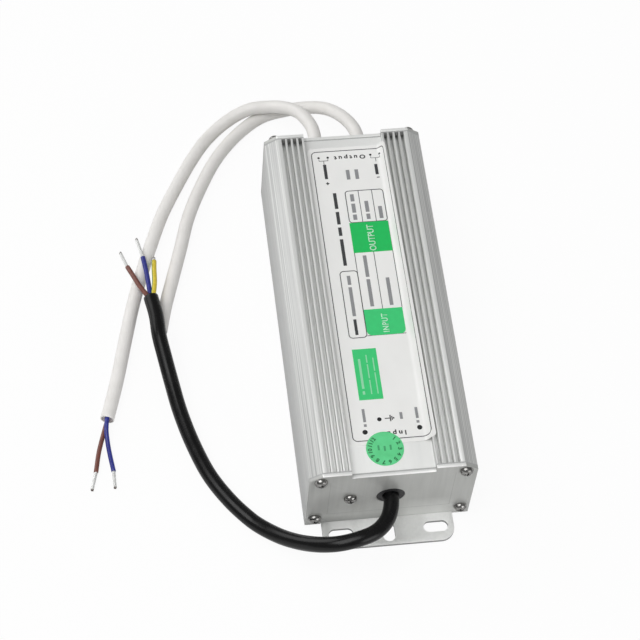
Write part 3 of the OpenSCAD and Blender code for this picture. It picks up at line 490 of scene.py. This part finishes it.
def merged_copy(node, name):
    """A copy of a CAD node's mesh, its loose triangles merged and joined into flat faces."""
    piece = shown(name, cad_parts[node].data.copy())
    pick(piece)
    bpy.ops.mesh.customdata_custom_splitnormals_clear()
    piece.data.materials.clear()
    edit()
    bpy.ops.mesh.remove_doubles(threshold=0.002 * MM)
    bpy.ops.mesh.dissolve_limited(angle_limit=math.radians(0.6))
    leave_edit()
    return piece


def rounded_edges(piece, width, segments=2, sharp=35):
    """Breaks every edge sharper than so many degrees by width, and shades the piece smooth between edges."""
    pick(piece)
    edge = piece.modifiers.new("edge", "BEVEL")
    edge.width, edge.segments = width, segments
    edge.limit_method, edge.angle_limit = "ANGLE", math.radians(sharp)
    bpy.ops.object.modifier_apply(modifier="edge")
    bpy.ops.object.shade_smooth_by_angle(angle=math.radians(sharp))


def aluminium(name, colour, pale, fine, broad, roughness, depth, areas=()):
    """Aluminium: broad soft bands and fine lines or grain, which change its colour, gloss and skin. Each
    area gives a share from 0 to 1 for a place on the piece, in mm, and has the colour it takes there."""
    finish = Finish(name, colour, roughness, Metallic=0.3)
    bands = finish.noise(broad, 2)
    lines = finish.noise(fine, 4, rough=0.6)
    skin = finish.mix((0.14 * bands + 0.86 * lines).spread(0, 1, 0.38, 0.62), colour, pale)
    x, y, z = (finish.node("ShaderNodeSeparateXYZ", None, {0: finish.coordinates()}, letter) * 1000
               for letter in "XYZ")
    # Nearly all areas paint light or shade into the colour.
    for area, other in areas:
        skin = finish.mix(area(x, y, z), skin, other)
    finish.set("Base Color", skin)
    finish.set("Roughness", lines.spread(roughness - 0.05, roughness + 0.06))
    finish.bump(lines, depth, 0.5)
    return finish


def in_channel(x, y, z):
    """The channel's floor, painted paler as light against the shade of its walls."""
    return within(z, CHANNEL_FLOOR - NEAR, CHANNEL_FLOOR + 0.15) * (abs(x) < CHANNEL_HALF - NEAR)


def in_front_channel(x, y, z):
    """The floor's front end, painted darker towards the right as shade."""
    return in_channel(x, y, z) * (y < 0) * x.spread(0, 1, -10, 12)


def on_ribs(x, y, z):
    """The ribs' tops, painted paler as light, most on the left of the label."""
    ribs = within(abs(x), CHANNEL_HALF - NEAR, GROOVES_END - NEAR) * (z > CASE_TOP - 2 * NEAR)
    return ribs * (0.45 - (x > 0) * 0.3)


def on_lands(x, y, z):
    """The flat lands between the outermost grooves and the shoulders, painted paler as light."""
    return within(abs(x), GROOVES_END - NEAR, SHOULDER + NEAR / 2) * (z > CASE_TOP - 2 * NEAR) * 0.9


def in_grooves(x, y, z):
    """The grooves' walls and floors, painted paler as light under their painted shade."""
    height = within(z, CHANNEL_FLOOR + 0.15, CASE_TOP - 2 * NEAR)
    return within(abs(x), CHANNEL_HALF + NEAR, GROOVES_END + NEAR) * height


def groove_shade(x, y, z):
    """Each groove is palest at its left side and darkens to the right, most on the right of the label."""
    step = (x * (1 / GROOVE_PITCH)).maths("FRACT") - (x > 0) * 0.38
    return in_grooves(x, y, z) * step.spread(0, 0.8, 0.15, 0.62) * (0.42 + (x > 0) * 0.58)


def groove_ends(x, y, z):
    """The grooves' rear ends, dull where the cover shades them."""
    return in_grooves(x, y, z) * y.spread(0, 0.8, CASE_END - 2.75, CASE_END - 0.75)


def shoulder_lines(x, y, z):
    """Fine even lines that the die leaves along the sloped shoulders, deeper on the right as painted shade.
    """
    share = (abs(x) * 8.3).maths("SINE").spread(0, 0.34, -1, 1) * (0.55 + (x > 0) * 0.45)
    return within(abs(x), SHOULDER + NEAR, HALF_WIDTH - NEAR / 2) * share


def low_left_wall(x, y, z):
    """The left wall, darker towards its foot: painted shade."""
    return (x < 3 * NEAR - HALF_WIDTH) * z.spread(0.75, 0.1, 2, 38)
case_aluminium = aluminium("case_aluminium", tint(186, 187, 186), tint(222, 223, 221), (1500, 7, 1500),
                           (260, 3, 260), 0.42, 0.00014,
                           ((in_channel, tint(250, 251, 249)), (in_front_channel, tint(208, 209, 207)),
                            (on_ribs, tint(246, 247, 245)), (on_lands, tint(230, 231, 229)),
                            (in_grooves, tint(240, 241, 239)), (groove_shade, tint(104, 105, 104)),
                            (groove_ends, tint(62, 63, 63)), (shoulder_lines, tint(140, 141, 139)),
                            (low_left_wall, tint(150, 151, 150))))
case = merged_copy("case", "case_extrusion")
rounded_edges(case, 0.16 * MM)
done(case, case_aluminium, "case_aluminium", "case")


# Base plate: aluminium sheet whose edge tongues slide in the feet's grooves; its two ends stand out as
# mounting ears with slots for screws, blanked with slightly rounded edges.
PLATE_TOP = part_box("base_plate")[1].z / MM


def sheared_edge(x, y, z):
    """The plate's sheared sides and the walls of its slots, painted darker than its faces as shade."""
    return within(z, NEAR, PLATE_TOP - 0.15) * 0.9


def dull_ear(x, y, z):
    """The front ear, darker towards its left end: the black lead's painted shadow."""
    return x.spread(0.6, 0, -28, -10) * (y < 0)
plate_aluminium = aluminium("plate_aluminium", tint(238, 239, 237), tint(244, 245, 243), (700, 700, 700),
                            (90, 60, 90), 0.42, 0.00001,
                            ((dull_ear, tint(186, 187, 185)), (sheared_edge, tint(122, 123, 122))))
plate = merged_copy("base_plate", "base_plate_sheet")
rounded_edges(plate, 0.22 * MM, 3)
done(plate, plate_aluminium, "plate_aluminium", "base_plate")


# End covers: blanked aluminium sheet that follows the case's stepped end, on a thin rubber gasket. The front
# one has a lead hole and the earth screw's hole, the rear one two lead holes.
COVER_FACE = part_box("rear_end_plate")[1].y / MM
PRESS_LINE_LOW, PRESS_LINE_SIDE = 9.2, 26.1


def upper_edge(x, y, z):
    """The covers' upper edge, painted paler than their faces as light falling on it."""
    in_the_middle = (abs(x) < CHANNEL_HALF - NEAR) * (z > CHANNEL_FLOOR - 0.25)
    return (in_the_middle + (z > CASE_TOP - 0.25)) * 0.85


def bright_corner(x, y, z):
    """The outer corner of the front cover's upper edge, with a painted highlight."""
    return upper_edge(x, y, z) * (y < 0.65 - COVER_FACE) * 1.1


def cover_right(x, y, z):
    """The part of the covers right of the front one's lead, painted brighter as light."""
    return x.spread(0, 1, 0, 9) * x.spread(1, 0, 22, 34) * z.spread(1, 0, 3, 17)


def cover_foot(x, y, z):
    """The foot of the covers left of the front one's lead, painted darker as shade."""
    return z.spread(0.8, 0, 2, 7) * x.spread(1, 0, -2, 6)


def cover_line(x, y, z):
    """Painted shade along a faint line that the press tool left low on the cover and up both its sides."""
    foot = within(z, PRESS_LINE_LOW, PRESS_LINE_LOW + 0.35) * (abs(x) < PRESS_LINE_SIDE)
    sides = within(abs(x), PRESS_LINE_SIDE - 0.3, PRESS_LINE_SIDE) * within(z, PRESS_LINE_LOW, 38)
    return (foot + sides) * 0.3
cover_aluminium = aluminium("cover_aluminium", tint(177, 178, 175), tint(185, 186, 183), (500, 500, 24),
                            (60, 60, 30), 0.34, 0.000004,
                            ((cover_right, tint(226, 227, 224)), (cover_foot, tint(146, 147, 145)),
                             (cover_line, tint(116, 117, 115)), (upper_edge, tint(250, 251, 249)),
                             (bright_corner, tint(254, 254, 253))))
for end in ("front", "rear"):
    cover = merged_copy(f"{end}_end_plate", f"{end}_cover_sheet")
    rounded_edges(cover, 0.3 * MM, 3)
    done(cover, cover_aluminium, "cover_aluminium", f"{end}_end_plate")

gasket_rubber = mottled("gasket_rubber", tint(168, 169, 168), tint(186, 187, 186), 1500, 3, (0.7, 0.7),
                        (0, 1, 0, 1), (0.03 * MM, 0.5))


def refinish(finish, *nodes):
    """A CAD node whose shape is right keeps its mesh and takes this material."""
    for node in nodes:
        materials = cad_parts[node].data.materials
        for k in range(len(materials)):
            materials[k] = finish.material


refinish(gasket_rubber, "front_gasket", "rear_gasket")


# Screws: zinc-plated steel pan-head screws with a cross recess, turned into the case's open screw ports,
# four at each end, and a shorter one for the earth lug, with its nut and tinned brass lug inside.
SCREW_PLACES = ((-31, 6.6), (31, 6.6), (-30.1, 39.3), (30.1, 39.3))
SCREW_LENGTH = 12
EARTH_PLACE, EARTH_LENGTH = (-17, 22.8), 6.7
THREAD_PITCH, THREAD_CORE, THREAD_HEIGHT = 0.9, 1.0, 0.25
POINT_LENGTH = 0.6
RECESS_MIDDLE = 2.1  # height of the middle of the cross recess over the head's underside
RECESS_ARM = (3.3 * MM, 0.72 * MM, 1.8 * MM)  # length, width and height of each arm of the cross

# Half the section of a head, as radius and height in mm, from the top of its crown to its underside
HEAD_PROFILE = [(0, 2.4), (0.7, 2.36), (1.35, 2.2), (1.9, 1.92), (2.3, 1.58), (2.6, 1.14), (2.75, 0.7),
                (2.8, 0.35), (2.76, 0.07), (2.65, 0), (1.25, 0), (0, 0)]


def spun(name, profile, steps, closed=False):
    """A profile of radius and height in mm, turned round the Z axis into a closed body."""
    mesh = bpy.data.meshes.new(name)
    edges = [(k, k + 1) for k in range(len(profile) - 1)] + ([(len(profile) - 1, 0)] if closed else [])
    mesh.from_pydata([(r * MM, 0, z * MM) for r, z in profile], edges, [])
    piece = shown(name, mesh)
    pick(piece)
    edit()
    bpy.ops.mesh.spin(steps=steps, angle=2 * math.pi, center=(0, 0, 0), axis=(0, 0, 1))
    bpy.ops.mesh.select_all(action="SELECT")
    bpy.ops.mesh.remove_doubles(threshold=0.004 * MM)
    bpy.ops.mesh.normals_make_consistent(inside=False)
    leave_edit()
    return piece


screw_steel = mottled("screw_steel", tint(172, 171, 169), tint(112, 111, 109), 900, 4, (0.12, 0.26),
                      Metallic=1.0)
# Painted shade: the steel darkens inside the cross recess.
recess_shade = screw_steel.node("ShaderNodeAttribute", {"attribute_name": "depth"}, output="Fac")
screw_steel.set("Base Color", screw_steel.mix(recess_shade, screw_steel.skin_colour, tint(24, 24, 24)))


def thread(depth, taper):
    """The radius of the shank at a depth below the head, which follows the thread round it."""
    def radius(turn):
        flank = abs((depth / THREAD_PITCH + turn / (2 * math.pi)) % 1 - 0.5) * 2
        return (THREAD_CORE + THREAD_HEIGHT * flank) * taper * MM
    return radius


def pan_screw(name, length):
    """A screw along Z, the underside of its head at the origin: turned head, cross recess, threaded shank."""
    head = spun(name, HEAD_PROFILE, 40)
    for turn in (0, math.pi / 2):
        bpy.ops.mesh.primitive_cube_add(size=1, location=(0, 0, RECESS_MIDDLE * MM),
                                        rotation=(0, 0, turn))
        arm = bpy.context.object
        arm.scale = RECESS_ARM
        for corner in arm.data.vertices:
            if corner.co.z < 0:
                corner.co.x *= 0.45
                corner.co.y *= 0.7
        pick(head)
        recess = head.modifiers.new("recess", "BOOLEAN")
        recess.operation, recess.object = "DIFFERENCE", arm
        bpy.ops.object.modifier_apply(modifier="recess")
        bpy.data.objects.remove(arm)
    rounded_edges(head, 0.05 * MM, 1, 40)
    # Marks the cross recess, where shade is painted into the steel's colour.
    recess_shade_mark = head.data.attributes.new("depth", "FLOAT", "POINT").data
    for corner, mark in zip(head.data.vertices, recess_shade_mark):
        x, y, z = (c / MM for c in corner.co)
        mark.value = float(math.hypot(x, y) < 1.75 and 0.5 < z < 1.5)
    down = Vector((0, 0, -1))
    threaded = length - POINT_LENGTH
    steps = int(threaded / THREAD_PITCH * 6)
    rings = [(Vector((0, 0, 0.4 * MM)), down, 1.05 * MM)]
    for k in range(steps):
        depth = threaded * (k + 1) / steps
        taper = min(1, 0.35 + (length - depth) / 1.8)
        rings.append((Vector((0, 0, -depth * MM)), down, thread(depth, taper)))
    rings.append((Vector((0, 0, -length * MM)), down, 0.2 * MM))
    shank = swept(name + "_shank", rings, 16, screw_steel, "screw_steel")
    head.data.materials.clear()
    head.data.materials.append(screw_steel.material)
    return joined(name, [head, shank])


def placed(model, name, x, y, z, facing, turn):
    """A copy of a screw with its own mesh, turned round itself, its head to the front (-1) or rear (1)."""
    piece = shown(name, model.data.copy())
    piece.data.transform(Matrix.Translation((x * MM, y * MM, z * MM))
                         @ Matrix.Rotation(-facing * math.pi / 2, 4, "X") @ Matrix.Rotation(turn, 4, "Z"))
    return piece


cover_screw = pan_screw("cover_screw", SCREW_LENGTH)
for end, facing in (("front", -1), ("rear", 1)):
    screws = [placed(cover_screw, f"{end}_pan_screws_{k}", x, facing * COVER_FACE, z, facing, 0.5 + 1.3 * k)
              for k, (x, z) in enumerate(SCREW_PLACES)]
    done(joined(f"{end}_pan_screws", screws), screw_steel, "screw_steel", f"{end}_screws")
earth_model = pan_screw("earth_model", EARTH_LENGTH)
earth = placed(earth_model, "earth_pan_screw", EARTH_PLACE[0], -COVER_FACE, EARTH_PLACE[1], -1, 0.3)
done(earth, screw_steel, "screw_steel", "earth_screw")
for model in (cover_screw, earth_model):
    bpy.data.objects.remove(model)
refinish(screw_steel, "earth_nut")

tinned_brass = mottled("tinned_brass", tint(200, 196, 184), tint(190, 160, 96), 500, 3, (0.28, 0.45),
                       Metallic=0.9)
refinish(tinned_brass, "earth_lug")


# Grommets: moulded black rubber bushings, flush with the outside of the covers, with a flange behind the
# gasket and a nose that grips the lead.
LEAD_HEIGHT = 22
BORE_GAP = 0.08
grommet_rubber = mottled("grommet_rubber", tint(20, 20, 21), tint(36, 36, 38), 1300, 3, (0.45, 0.65),
                         (0, 1, 0, 1), (0.04 * MM, 0.5))

# Half the section of a bushing outside its bore, as radius and place along it in mm, from the cover's face
BUSHING_PROFILE = [(4.4, -0.1), (5.3, -0.02), (5.75, -0.06), (5.92, -0.25), (5.95, -0.5), (5.95, -2),
                   (7.4, -2), (7.5, -2.12), (7.5, -3.35), (7.35, -3.5), (4.5, -3.5), (4.5, -6.3),
                   (4.35, -6.5)]
for name, x, facing, lead_radius in (("input_grommet", 0, -1, BLACK_RADIUS),
                                     ("output_grommet_left", -10, 1, WHITE_RADIUS),
                                     ("output_grommet_right", 10, 1, WHITE_RADIUS)):
    bore = lead_radius / MM + BORE_GAP
    lips = [(bore + 0.12, -6.5), (bore, -6.4), (bore, -0.35), (bore + 0.12, -0.12), (bore + 0.37, -0.02)]
    bushing = spun(name + "_rubber", BUSHING_PROFILE + lips, 48, closed=True)
    bpy.ops.object.shade_smooth_by_angle(angle=math.radians(50))
    bushing.data.transform(Matrix.Translation((x * MM, facing * COVER_FACE * MM, LEAD_HEIGHT * MM))
                           @ Matrix.Rotation(-facing * math.pi / 2, 4, "X"))
    done(bushing, grommet_rubber, "grommet_rubber", name)


# Inside: the circuit board with its parts slid into the case's rails over a paper sheet and cast in grey
# compound, with the leads' cores run down to it. None of it shows once the covers are on.
for name, colour, other, roughness, grain, metallic, nodes in (
        ("insulating_paper", (228, 220, 196), (206, 196, 168), 0.7, 500, 0, ["insulation_sheet"]),
        ("casting_compound", (70, 72, 76), (52, 54, 58), 0.5, 260, 0, ["potting"]),
        ("fuse_ceramic", (222, 220, 210), (190, 190, 184), 0.25, 700, 0, ["fuse"]),
        ("disc_blue", (48, 96, 170), (36, 76, 140), 0.35, 900, 0, ["varistor", "y_capacitor"]),
        ("capacitor_yellow", (222, 190, 60), (204, 170, 44), 0.4, 600, 0, ["x_capacitor"]),
        ("ferrite", (58, 60, 64), (42, 44, 47), 0.55, 1500, 0,
         ["line_choke_core", "transformer_core", "output_choke_core"]),
        ("chip_plastic", (38, 39, 41), (28, 29, 31), 0.5, 1800, 0,
         ["bridge_rectifier", "control_chip", "switching_transistor", "output_rectifier",
          "transformer_bobbin"]),
        ("can_sleeve", (34, 44, 74), (26, 34, 60), 0.3, 300, 0, ["bulk_capacitors", "output_capacitors"]),
        ("winding_tape", (226, 198, 66), (204, 174, 48), 0.35, 400, 0, ["transformer_winding"]),
        ("spreader_aluminium", (190, 192, 194), (208, 209, 211), 0.4, 1200, 0.82, ["heat_spreaders"])):
    finish = mottled(name, tint(*colour), tint(*other), grain, 4, (roughness - 0.06, roughness + 0.08),
                     skin=(0.03 * MM, 0.5), Metallic=metallic)
    refinish(finish, *nodes)
enamelled_copper = Finish("enamelled_copper", tint(184, 104, 52), 0.3, Metallic=0.8)
turns = enamelled_copper.node("ShaderNodeTexWave", {"wave_type": "RINGS", "rings_direction": "SPHERICAL"},
                              {"Vector": enamelled_copper.coordinates(), "Scale": 300, "Distortion": 1.5})
enamelled_copper.set("Base Color", enamelled_copper.mix(turns, tint(150, 78, 40), tint(206, 126, 70)))
enamelled_copper.bump(turns, 0.1 * MM, 1)
refinish(enamelled_copper, "line_choke_coils", "output_choke_coil")

board_laminate = Finish("board_laminate", tint(44, 104, 60), 0.4)
tracks = board_laminate.node("ShaderNodeTexBrick", {"offset": 0.37},
                             {"Vector": board_laminate.coordinates(), "Scale": 90, "Mortar Size": 0.06,
                              "Color1": tint(40, 98, 56), "Color2": tint(52, 118, 70),
                              "Mortar": tint(150, 132, 84)})
board_laminate.set("Base Color", tracks)
refinish(board_laminate, "circuit_board")
refinish(brown_insulation, "input_inner_wires")
refinish(blue_insulation, "output_inner_wires")


# Label: printed plastic film stuck in the channel, its right edge led in a hollow curve up onto the first
# rib. The print is fields of colour, thin lines, dots and plain bars, an earth sign and the words for in
# and out. Its sizes and places are in mm, x across the case and y along it.
FILM_THICKNESS = 0.2
FILM_TOP = CHANNEL_FLOOR + FILM_THICKNESS  # height of the label's face in the channel
CLIMB_START = 14.3  # where the film leaves the channel's floor
INK = 0.02  # thickness of the print
label_film = mottled("label_film", tint(243, 243, 241), tint(236, 236, 234), (55, 35, 55), 3, (0.3, 0.4),
                     skin=(0.2 * MM, 0.25), Coat_Weight=0.2)
film = merged_copy("label", "label_film")
rounded_edges(film, 0.05 * MM, 1, 20)
done(film, label_film, "label_paper", "label")

FIRST_RIB_END = 21
BEND = [k / 8 for k in range(9)]  # the shares at which a bent stretch of film or paper is folded

# The label's face across the case, from where it leaves the channel's floor to past the first rib, with how
# far along the film each point lies
CLIMB = [(CLIMB_START + (CHANNEL_HALF - NEAR - CLIMB_START) * share, FILM_TOP + CHANNEL_DEPTH * share ** 2)
         for share in BEND] + [(FIRST_RIB_END, FILM_TOP + CHANNEL_DEPTH)]
REACH = [CLIMB_START]
for (x0, z0), (x1, z1) in zip(CLIMB, CLIMB[1:]):
    REACH.append(REACH[-1] + math.hypot(x1 - x0, z1 - z0))


def on_film(flat, lift):
    """Where a place so far across the flat film and so high above it comes to lie once it is stuck on."""
    for k in range(len(REACH) - 1):
        if REACH[k] < flat <= REACH[k + 1]:
            (x0, z0), (x1, z1) = CLIMB[k], CLIMB[k + 1]
            share = (flat - REACH[k]) / (REACH[k + 1] - REACH[k])
            tilt = math.atan2(z1 - z0, x1 - x0)
            return (x0 + share * (x1 - x0) - lift * math.sin(tilt),
                    z0 + share * (z1 - z0) + lift * math.cos(tilt))
    return flat, FILM_TOP + lift


def ink(name, colour, roughness=0.45):
    """Printing ink: even, with a little mottling where the film takes it unevenly."""
    deeper = [part * 0.82 for part in colour[:3]] + [1]
    return mottled(name, colour, deeper, 420, 4, (roughness - 0.06, roughness + 0.08), (0, 0.35),
                   Coat_Weight=0.1)


def field(x0, y0, x1, y1, corner=0, corners="all"):
    """A flat field between two corners in mm; a corner radius rounds all its corners, or the front ones."""
    bpy.ops.mesh.primitive_plane_add(size=1, location=((x0 + x1) / 2 * MM, (y0 + y1) / 2 * MM, 0))
    piece = bpy.context.object
    piece.scale = (abs(x1 - x0) * MM, abs(y1 - y0) * MM, 1)
    bpy.ops.object.transform_apply(location=True, rotation=False, scale=True)
    if corner:
        edit("DESELECT")
        leave_edit()
        middle = (y0 + y1) / 2 * MM
        for point in piece.data.vertices:
            point.select = corners == "all" or (corners == "front") == (point.co.y < middle)
        bpy.ops.object.mode_set(mode="EDIT")
        bpy.ops.mesh.select_mode(type="VERT")
        bpy.ops.mesh.bevel(offset=corner * MM, segments=6, affect="VERTICES")
        leave_edit()
    return piece


def frame_line(x0, y0, x1, y1, corner, wide):
    """The outline of a field, as a thin line inside its edge."""
    piece = field(x0, y0, x1, y1, corner)
    edit()
    bpy.ops.mesh.select_mode(type="FACE")
    bpy.ops.mesh.inset(thickness=wide * MM)
    bpy.ops.mesh.delete(type="FACE")
    leave_edit()
    return piece


def dot(x, y, radius, sides=24):
    bpy.ops.mesh.primitive_circle_add(vertices=sides, radius=radius * MM, location=(x * MM, y * MM, 0),
                                      fill_type="NGON")
    piece = bpy.context.object
    bpy.ops.object.transform_apply(location=True, rotation=False, scale=False)
    return piece


def word(text, height, x, y, turn, narrow, bold, apart=1.0):
    """A word as flat letters of the given capital height, centred on a place and turned in degrees."""
    bpy.ops.object.text_add()
    piece = bpy.context.object
    piece.data.body = text
    piece.data.align_x, piece.data.align_y = "CENTER", "CENTER"
    piece.data.offset = bold * MM
    piece.data.space_character = apart
    piece.data.size = height * MM / 0.73  # a capital is so much of the letters' whole size
    piece.data.resolution_u = 4
    bpy.ops.object.convert(target="MESH")
    piece = bpy.context.object
    middle = sum((Vector(c) for c in piece.bound_box), Vector()) / 8
    piece.data.transform(Matrix.Translation((x * MM, y * MM, 0)) @ Matrix.Rotation(math.radians(turn), 4, "Z")
                         @ Matrix.Diagonal((narrow, 1, 1, 1)) @ Matrix.Translation(-middle))
    return piece


def printed(name, parts, finish, layer=1, slot="label_paper", laid=on_film, cuts=REACH[:-1],
            along=(1, 0, 0)):
    """Joins flat parts, cuts them where their ground bends, makes them so many layers of ink thick and lays
    them on it."""
    piece = joined(name, parts)
    edit()
    bpy.ops.mesh.remove_doubles(threshold=0.001 * MM)
    for cut in cuts:
        bpy.ops.mesh.select_all(action="SELECT")
        bpy.ops.mesh.bisect(plane_co=Vector(along) * cut * MM, plane_no=along)
    bpy.ops.mesh.select_all(action="SELECT")
    bpy.ops.mesh.normals_make_consistent(inside=False)
    leave_edit()
    mesh = piece.data
    if sum(face.area * face.normal.z for face in mesh.polygons) < 0:
        mesh.flip_normals()
    solid = piece.modifiers.new("ink", "SOLIDIFY")
    solid.thickness, solid.offset = layer * INK * MM, 1
    bpy.ops.object.modifier_apply(modifier="ink")
    for point in mesh.vertices:
        across_it = 0 if along == (1, 0, 0) else 1
        place, height = laid(point.co[across_it] / MM, point.co.z / MM)
        point.co[across_it], point.co.z = place * MM, height * MM
    return done(piece, finish, slot)


line_ink = ink("line_ink", tint(66, 67, 70))
black_ink = ink("black_ink", tint(26, 27, 29))
grey_ink = ink("grey_ink", tint(144, 145, 147))
dark_ink = ink("dark_ink", tint(58, 59, 61))
deep_green_ink = ink("deep_green_ink", tint(24, 194, 94), 0.4)
green_ink = ink("green_ink", tint(60, 207, 122), 0.4)
soft_pale_ink = ink("soft_pale_ink", tint(150, 222, 176))
word_ink = ink("word_ink", tint(206, 242, 218))

# Lines: the frame round the label, whose right side runs a little askew, the two tables, and the bracket of
# each pair of wires at the output end
BROAD_LINE, THIN_LINE = 0.38, 0.3
FRAME_FRONT = -69.3
FRAME_LEAN = 0.0045  # how far the frame's right side leans inwards along its length, as a share of it
WIRES_Y = 74.2
WIRE_PAIRS = ((-11.8, -7.7), (11.5, 15.6))


def line_along(x, front, rear):
    """A thin line along the case, its left side at x."""
    return field(x, front, x + THIN_LINE, rear)


edge_line = frame_line(-15, FRAME_FRONT, 19.4, 77.6, 2.2, BROAD_LINE)
for point in edge_line.data.vertices:
    if point.co.x > 0:
        point.co.x -= FRAME_LEAN * (point.co.y - FRAME_FRONT * MM)
lines = [edge_line, frame_line(-2.6, 38.4, 14.6, 55.6, 1.6, BROAD_LINE),
         frame_line(-10.2, -20, -2.2, 14, 1.8, BROAD_LINE), line_along(3.3, 38.5, 55.4),
         line_along(9.3, 38.5, 55.4), line_along(-2.5, -6.2, 38.4), line_along(5.9, -6.2, 22.8),
         line_along(14.3, -6.2, 38.4), field(-2.3, -19.3, 14.5, -19)]
for left, right in WIRE_PAIRS:
    middle = (left + right) / 2
    lines += [field(left - 0.1, WIRES_Y - 1.7, left + 0.15, WIRES_Y - 0.9),
              field(right - 0.15, WIRES_Y - 1.7, right + 0.1, WIRES_Y - 0.9),
              field(left, WIRES_Y - 1.9, right, WIRES_Y - 1.65),
              field(middle - 0.12, WIRES_Y - 3.8, middle + 0.13, WIRES_Y - 1.9)]
printed("label_lines", lines, line_ink)
earth_sign = [field(-0.4, -59.6, 1.7, -59.2), field(1.7, -60.9, 2.2, -57.9), field(2.4, -60.3, 2.9, -58.5),
              field(3.1, -59.8, 3.6, -59.0)]
wire_dots = [dot(-11.8, WIRES_Y, 0.55), dot(-7.7, 74.1, 0.55), dot(11.5, WIRES_Y, 0.55),
             dot(15.6, WIRES_Y, 0.5), dot(-9.4, -65.1, 1.1), dot(-2.7, -59.6, 0.95), dot(13.5, -64.8, 1.1)]
printed("label_dots", earth_sign + wire_dots, black_ink)
printed("label_output_field", [field(-2.6, 22.8, 14.5, 38.5)], deep_green_ink, layer=1.4)
printed("label_input_field", [field(-2.2, -19.2, 14.5, -6.2, 2.3, "front")], green_ink, layer=1.4)
printed("label_side_field", [field(-9.8, -50, 0.4, -25.4)], green_ink, layer=1.4)
printed("label_field_words", [word("OUTPUT", 3.0, 6.1, 30.3, 90, 0.84, 0.05),
                              word("INPUT", 2.7, 6.2, -13.3, 90, 0.78, 0.06, 1.2)],
        word_ink, layer=2.2)
printed("label_end_words", [word("Output", 2.1, 2.1, 73.8, 180, 1.15, 0.1, 1.5),
                            word("Input", 2.1, 2.6, -66.3, 180, 1.15, 0.1, 1.5)], black_ink, layer=1.2)


def bars(x, wide, *spans):
    """Plain bars in a row along the case, each from one place to the next, in mm."""
    return [field(x - wide / 2, a, x + wide / 2, b) for a, b in spans]


# The last three dark bars are the plus sign and the minus sign of the output
dark_bars = [*bars(-7.1, 1.5, (16.7, 30.4), (32.2, 36.6), (38.2, 44.8), (46.4, 54.8)),
             *bars(-9.6, 1.4, (62.6, 70.4)), *bars(13.2, 1.4, (63.4, 69)), *bars(-6.6, 1.3, (-18.4, -10.6)),
             *bars(-9.4, 0.5, (59.4, 60.9)), *bars(-9.4, 1.5, (59.9, 60.4)), *bars(13.4, 1.3, (61.6, 62.05))]
grey_bars = [*bars(0.4, 1.7, (40, 42.8), (43.8, 48.6), (49.8, 53.6)),
             *bars(6.3, 1.7, (40, 42.8), (43.8, 49.6)), *bars(12, 1.7, (40, 46.4)),
             *bars(1.8, 1.6, (-4.8, 9.0), (10.2, 21.2)), *bars(10.2, 1.6, (-4.8, 9.2)),
             *bars(-6.5, 1.5, (-9, 5.6), (6.8, 11.4)), *bars(0.2, 1.6, (61.6, 66.8)),
             *bars(4.1, 1.6, (61.6, 66.8)), *bars(-8.9, 1.2, (-62.6, -61.4), (-60.4, -54.2)),
             *bars(6.6, 1.2, (-60.2, -57)), *bars(13.2, 1.2, (-62.6, -61.4), (-60.4, -55.2))]
pale_bars = [*bars(-7.4, 1.0, (-47.4, -45.8), (-44.6, -30.2)),
             *bars(-4.2, 0.5, (-47.4, -40.6), (-39.8, -33), (-32.2, -28.4)),
             *bars(-1.5, 0.5, (-47.4, -37.2), (-36.4, -30))]
printed("label_dark_bars", dark_bars, dark_ink)
printed("label_grey_bars", grey_bars, grey_ink)
printed("label_pale_bars", pale_bars, soft_pale_ink, layer=2.2)


# Date sticker: a round green paper sticker, half on the label and half on the bare channel floor, with the
# numbers of the months round its edge and three plain marks in its middle. Its places are in mm.
STICKER_X, STICKER_Y, STICKER_RADIUS = -2.2, -73.4, 7.85
STICKER_THICKNESS = 0.1
RISE_START, RISE_END = -74.6, -71.3  # where it rises from the channel's floor onto the label
NUMBER_RING = 6.3
NUMBERS_START, NUMBER_TURN = 20, 24.6  # in degrees
MARK_WIDTH, MARK_LENGTH = 0.8, 2.2
sticker_paper = mottled("sticker_paper", tint(101, 218, 148), tint(90, 205, 134), 240, 4,
                        (0.44, 0.58), skin=(0.04 * MM, 0.4))


def on_sticker(place, lift):
    """The height of the sticker's face: over the channel's floor, an even rise, then over the label."""
    share = min(1, max(0, (place - RISE_START) / (RISE_END - RISE_START)))
    rise = FILM_THICKNESS * share * share * (3 - 2 * share)
    return place, CHANNEL_FLOOR + STICKER_THICKNESS + rise + lift


def under_sticker(place, lift):
    return on_sticker(place, lift - STICKER_THICKNESS)


on_paper = {"slot": "sticker_paper", "laid": on_sticker, "along": (0, 1, 0),
            "cuts": [RISE_START + (RISE_END - RISE_START) * share for share in BEND]}
sticker = printed("date_sticker_paper", [dot(STICKER_X, STICKER_Y, STICKER_RADIUS, 96)], sticker_paper,
                  STICKER_THICKNESS / INK, **{**on_paper, "laid": under_sticker})
bpy.ops.object.shade_smooth_by_angle(angle=math.radians(30))
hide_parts("date_sticker")

numbers = []
for month in range(1, 13):
    turn = math.radians(NUMBERS_START + NUMBER_TURN * month)
    numbers.append(word(str(month), 1.7, STICKER_X + NUMBER_RING * math.sin(turn),
                        STICKER_Y + NUMBER_RING * math.cos(turn), -math.degrees(turn), 1.05, 0.09))
printed("date_numbers", numbers, ink("sticker_ink", tint(24, 118, 66)), **on_paper)
marks = [field(STICKER_X + x, STICKER_Y + y, STICKER_X + x + MARK_WIDTH, STICKER_Y + y + MARK_LENGTH)
         for x, y in ((-3, -0.5), (-0.5, -1), (2, -0.7))]
printed("date_marks", marks, ink("soft_sticker_ink", tint(62, 160, 104)), **on_paper)
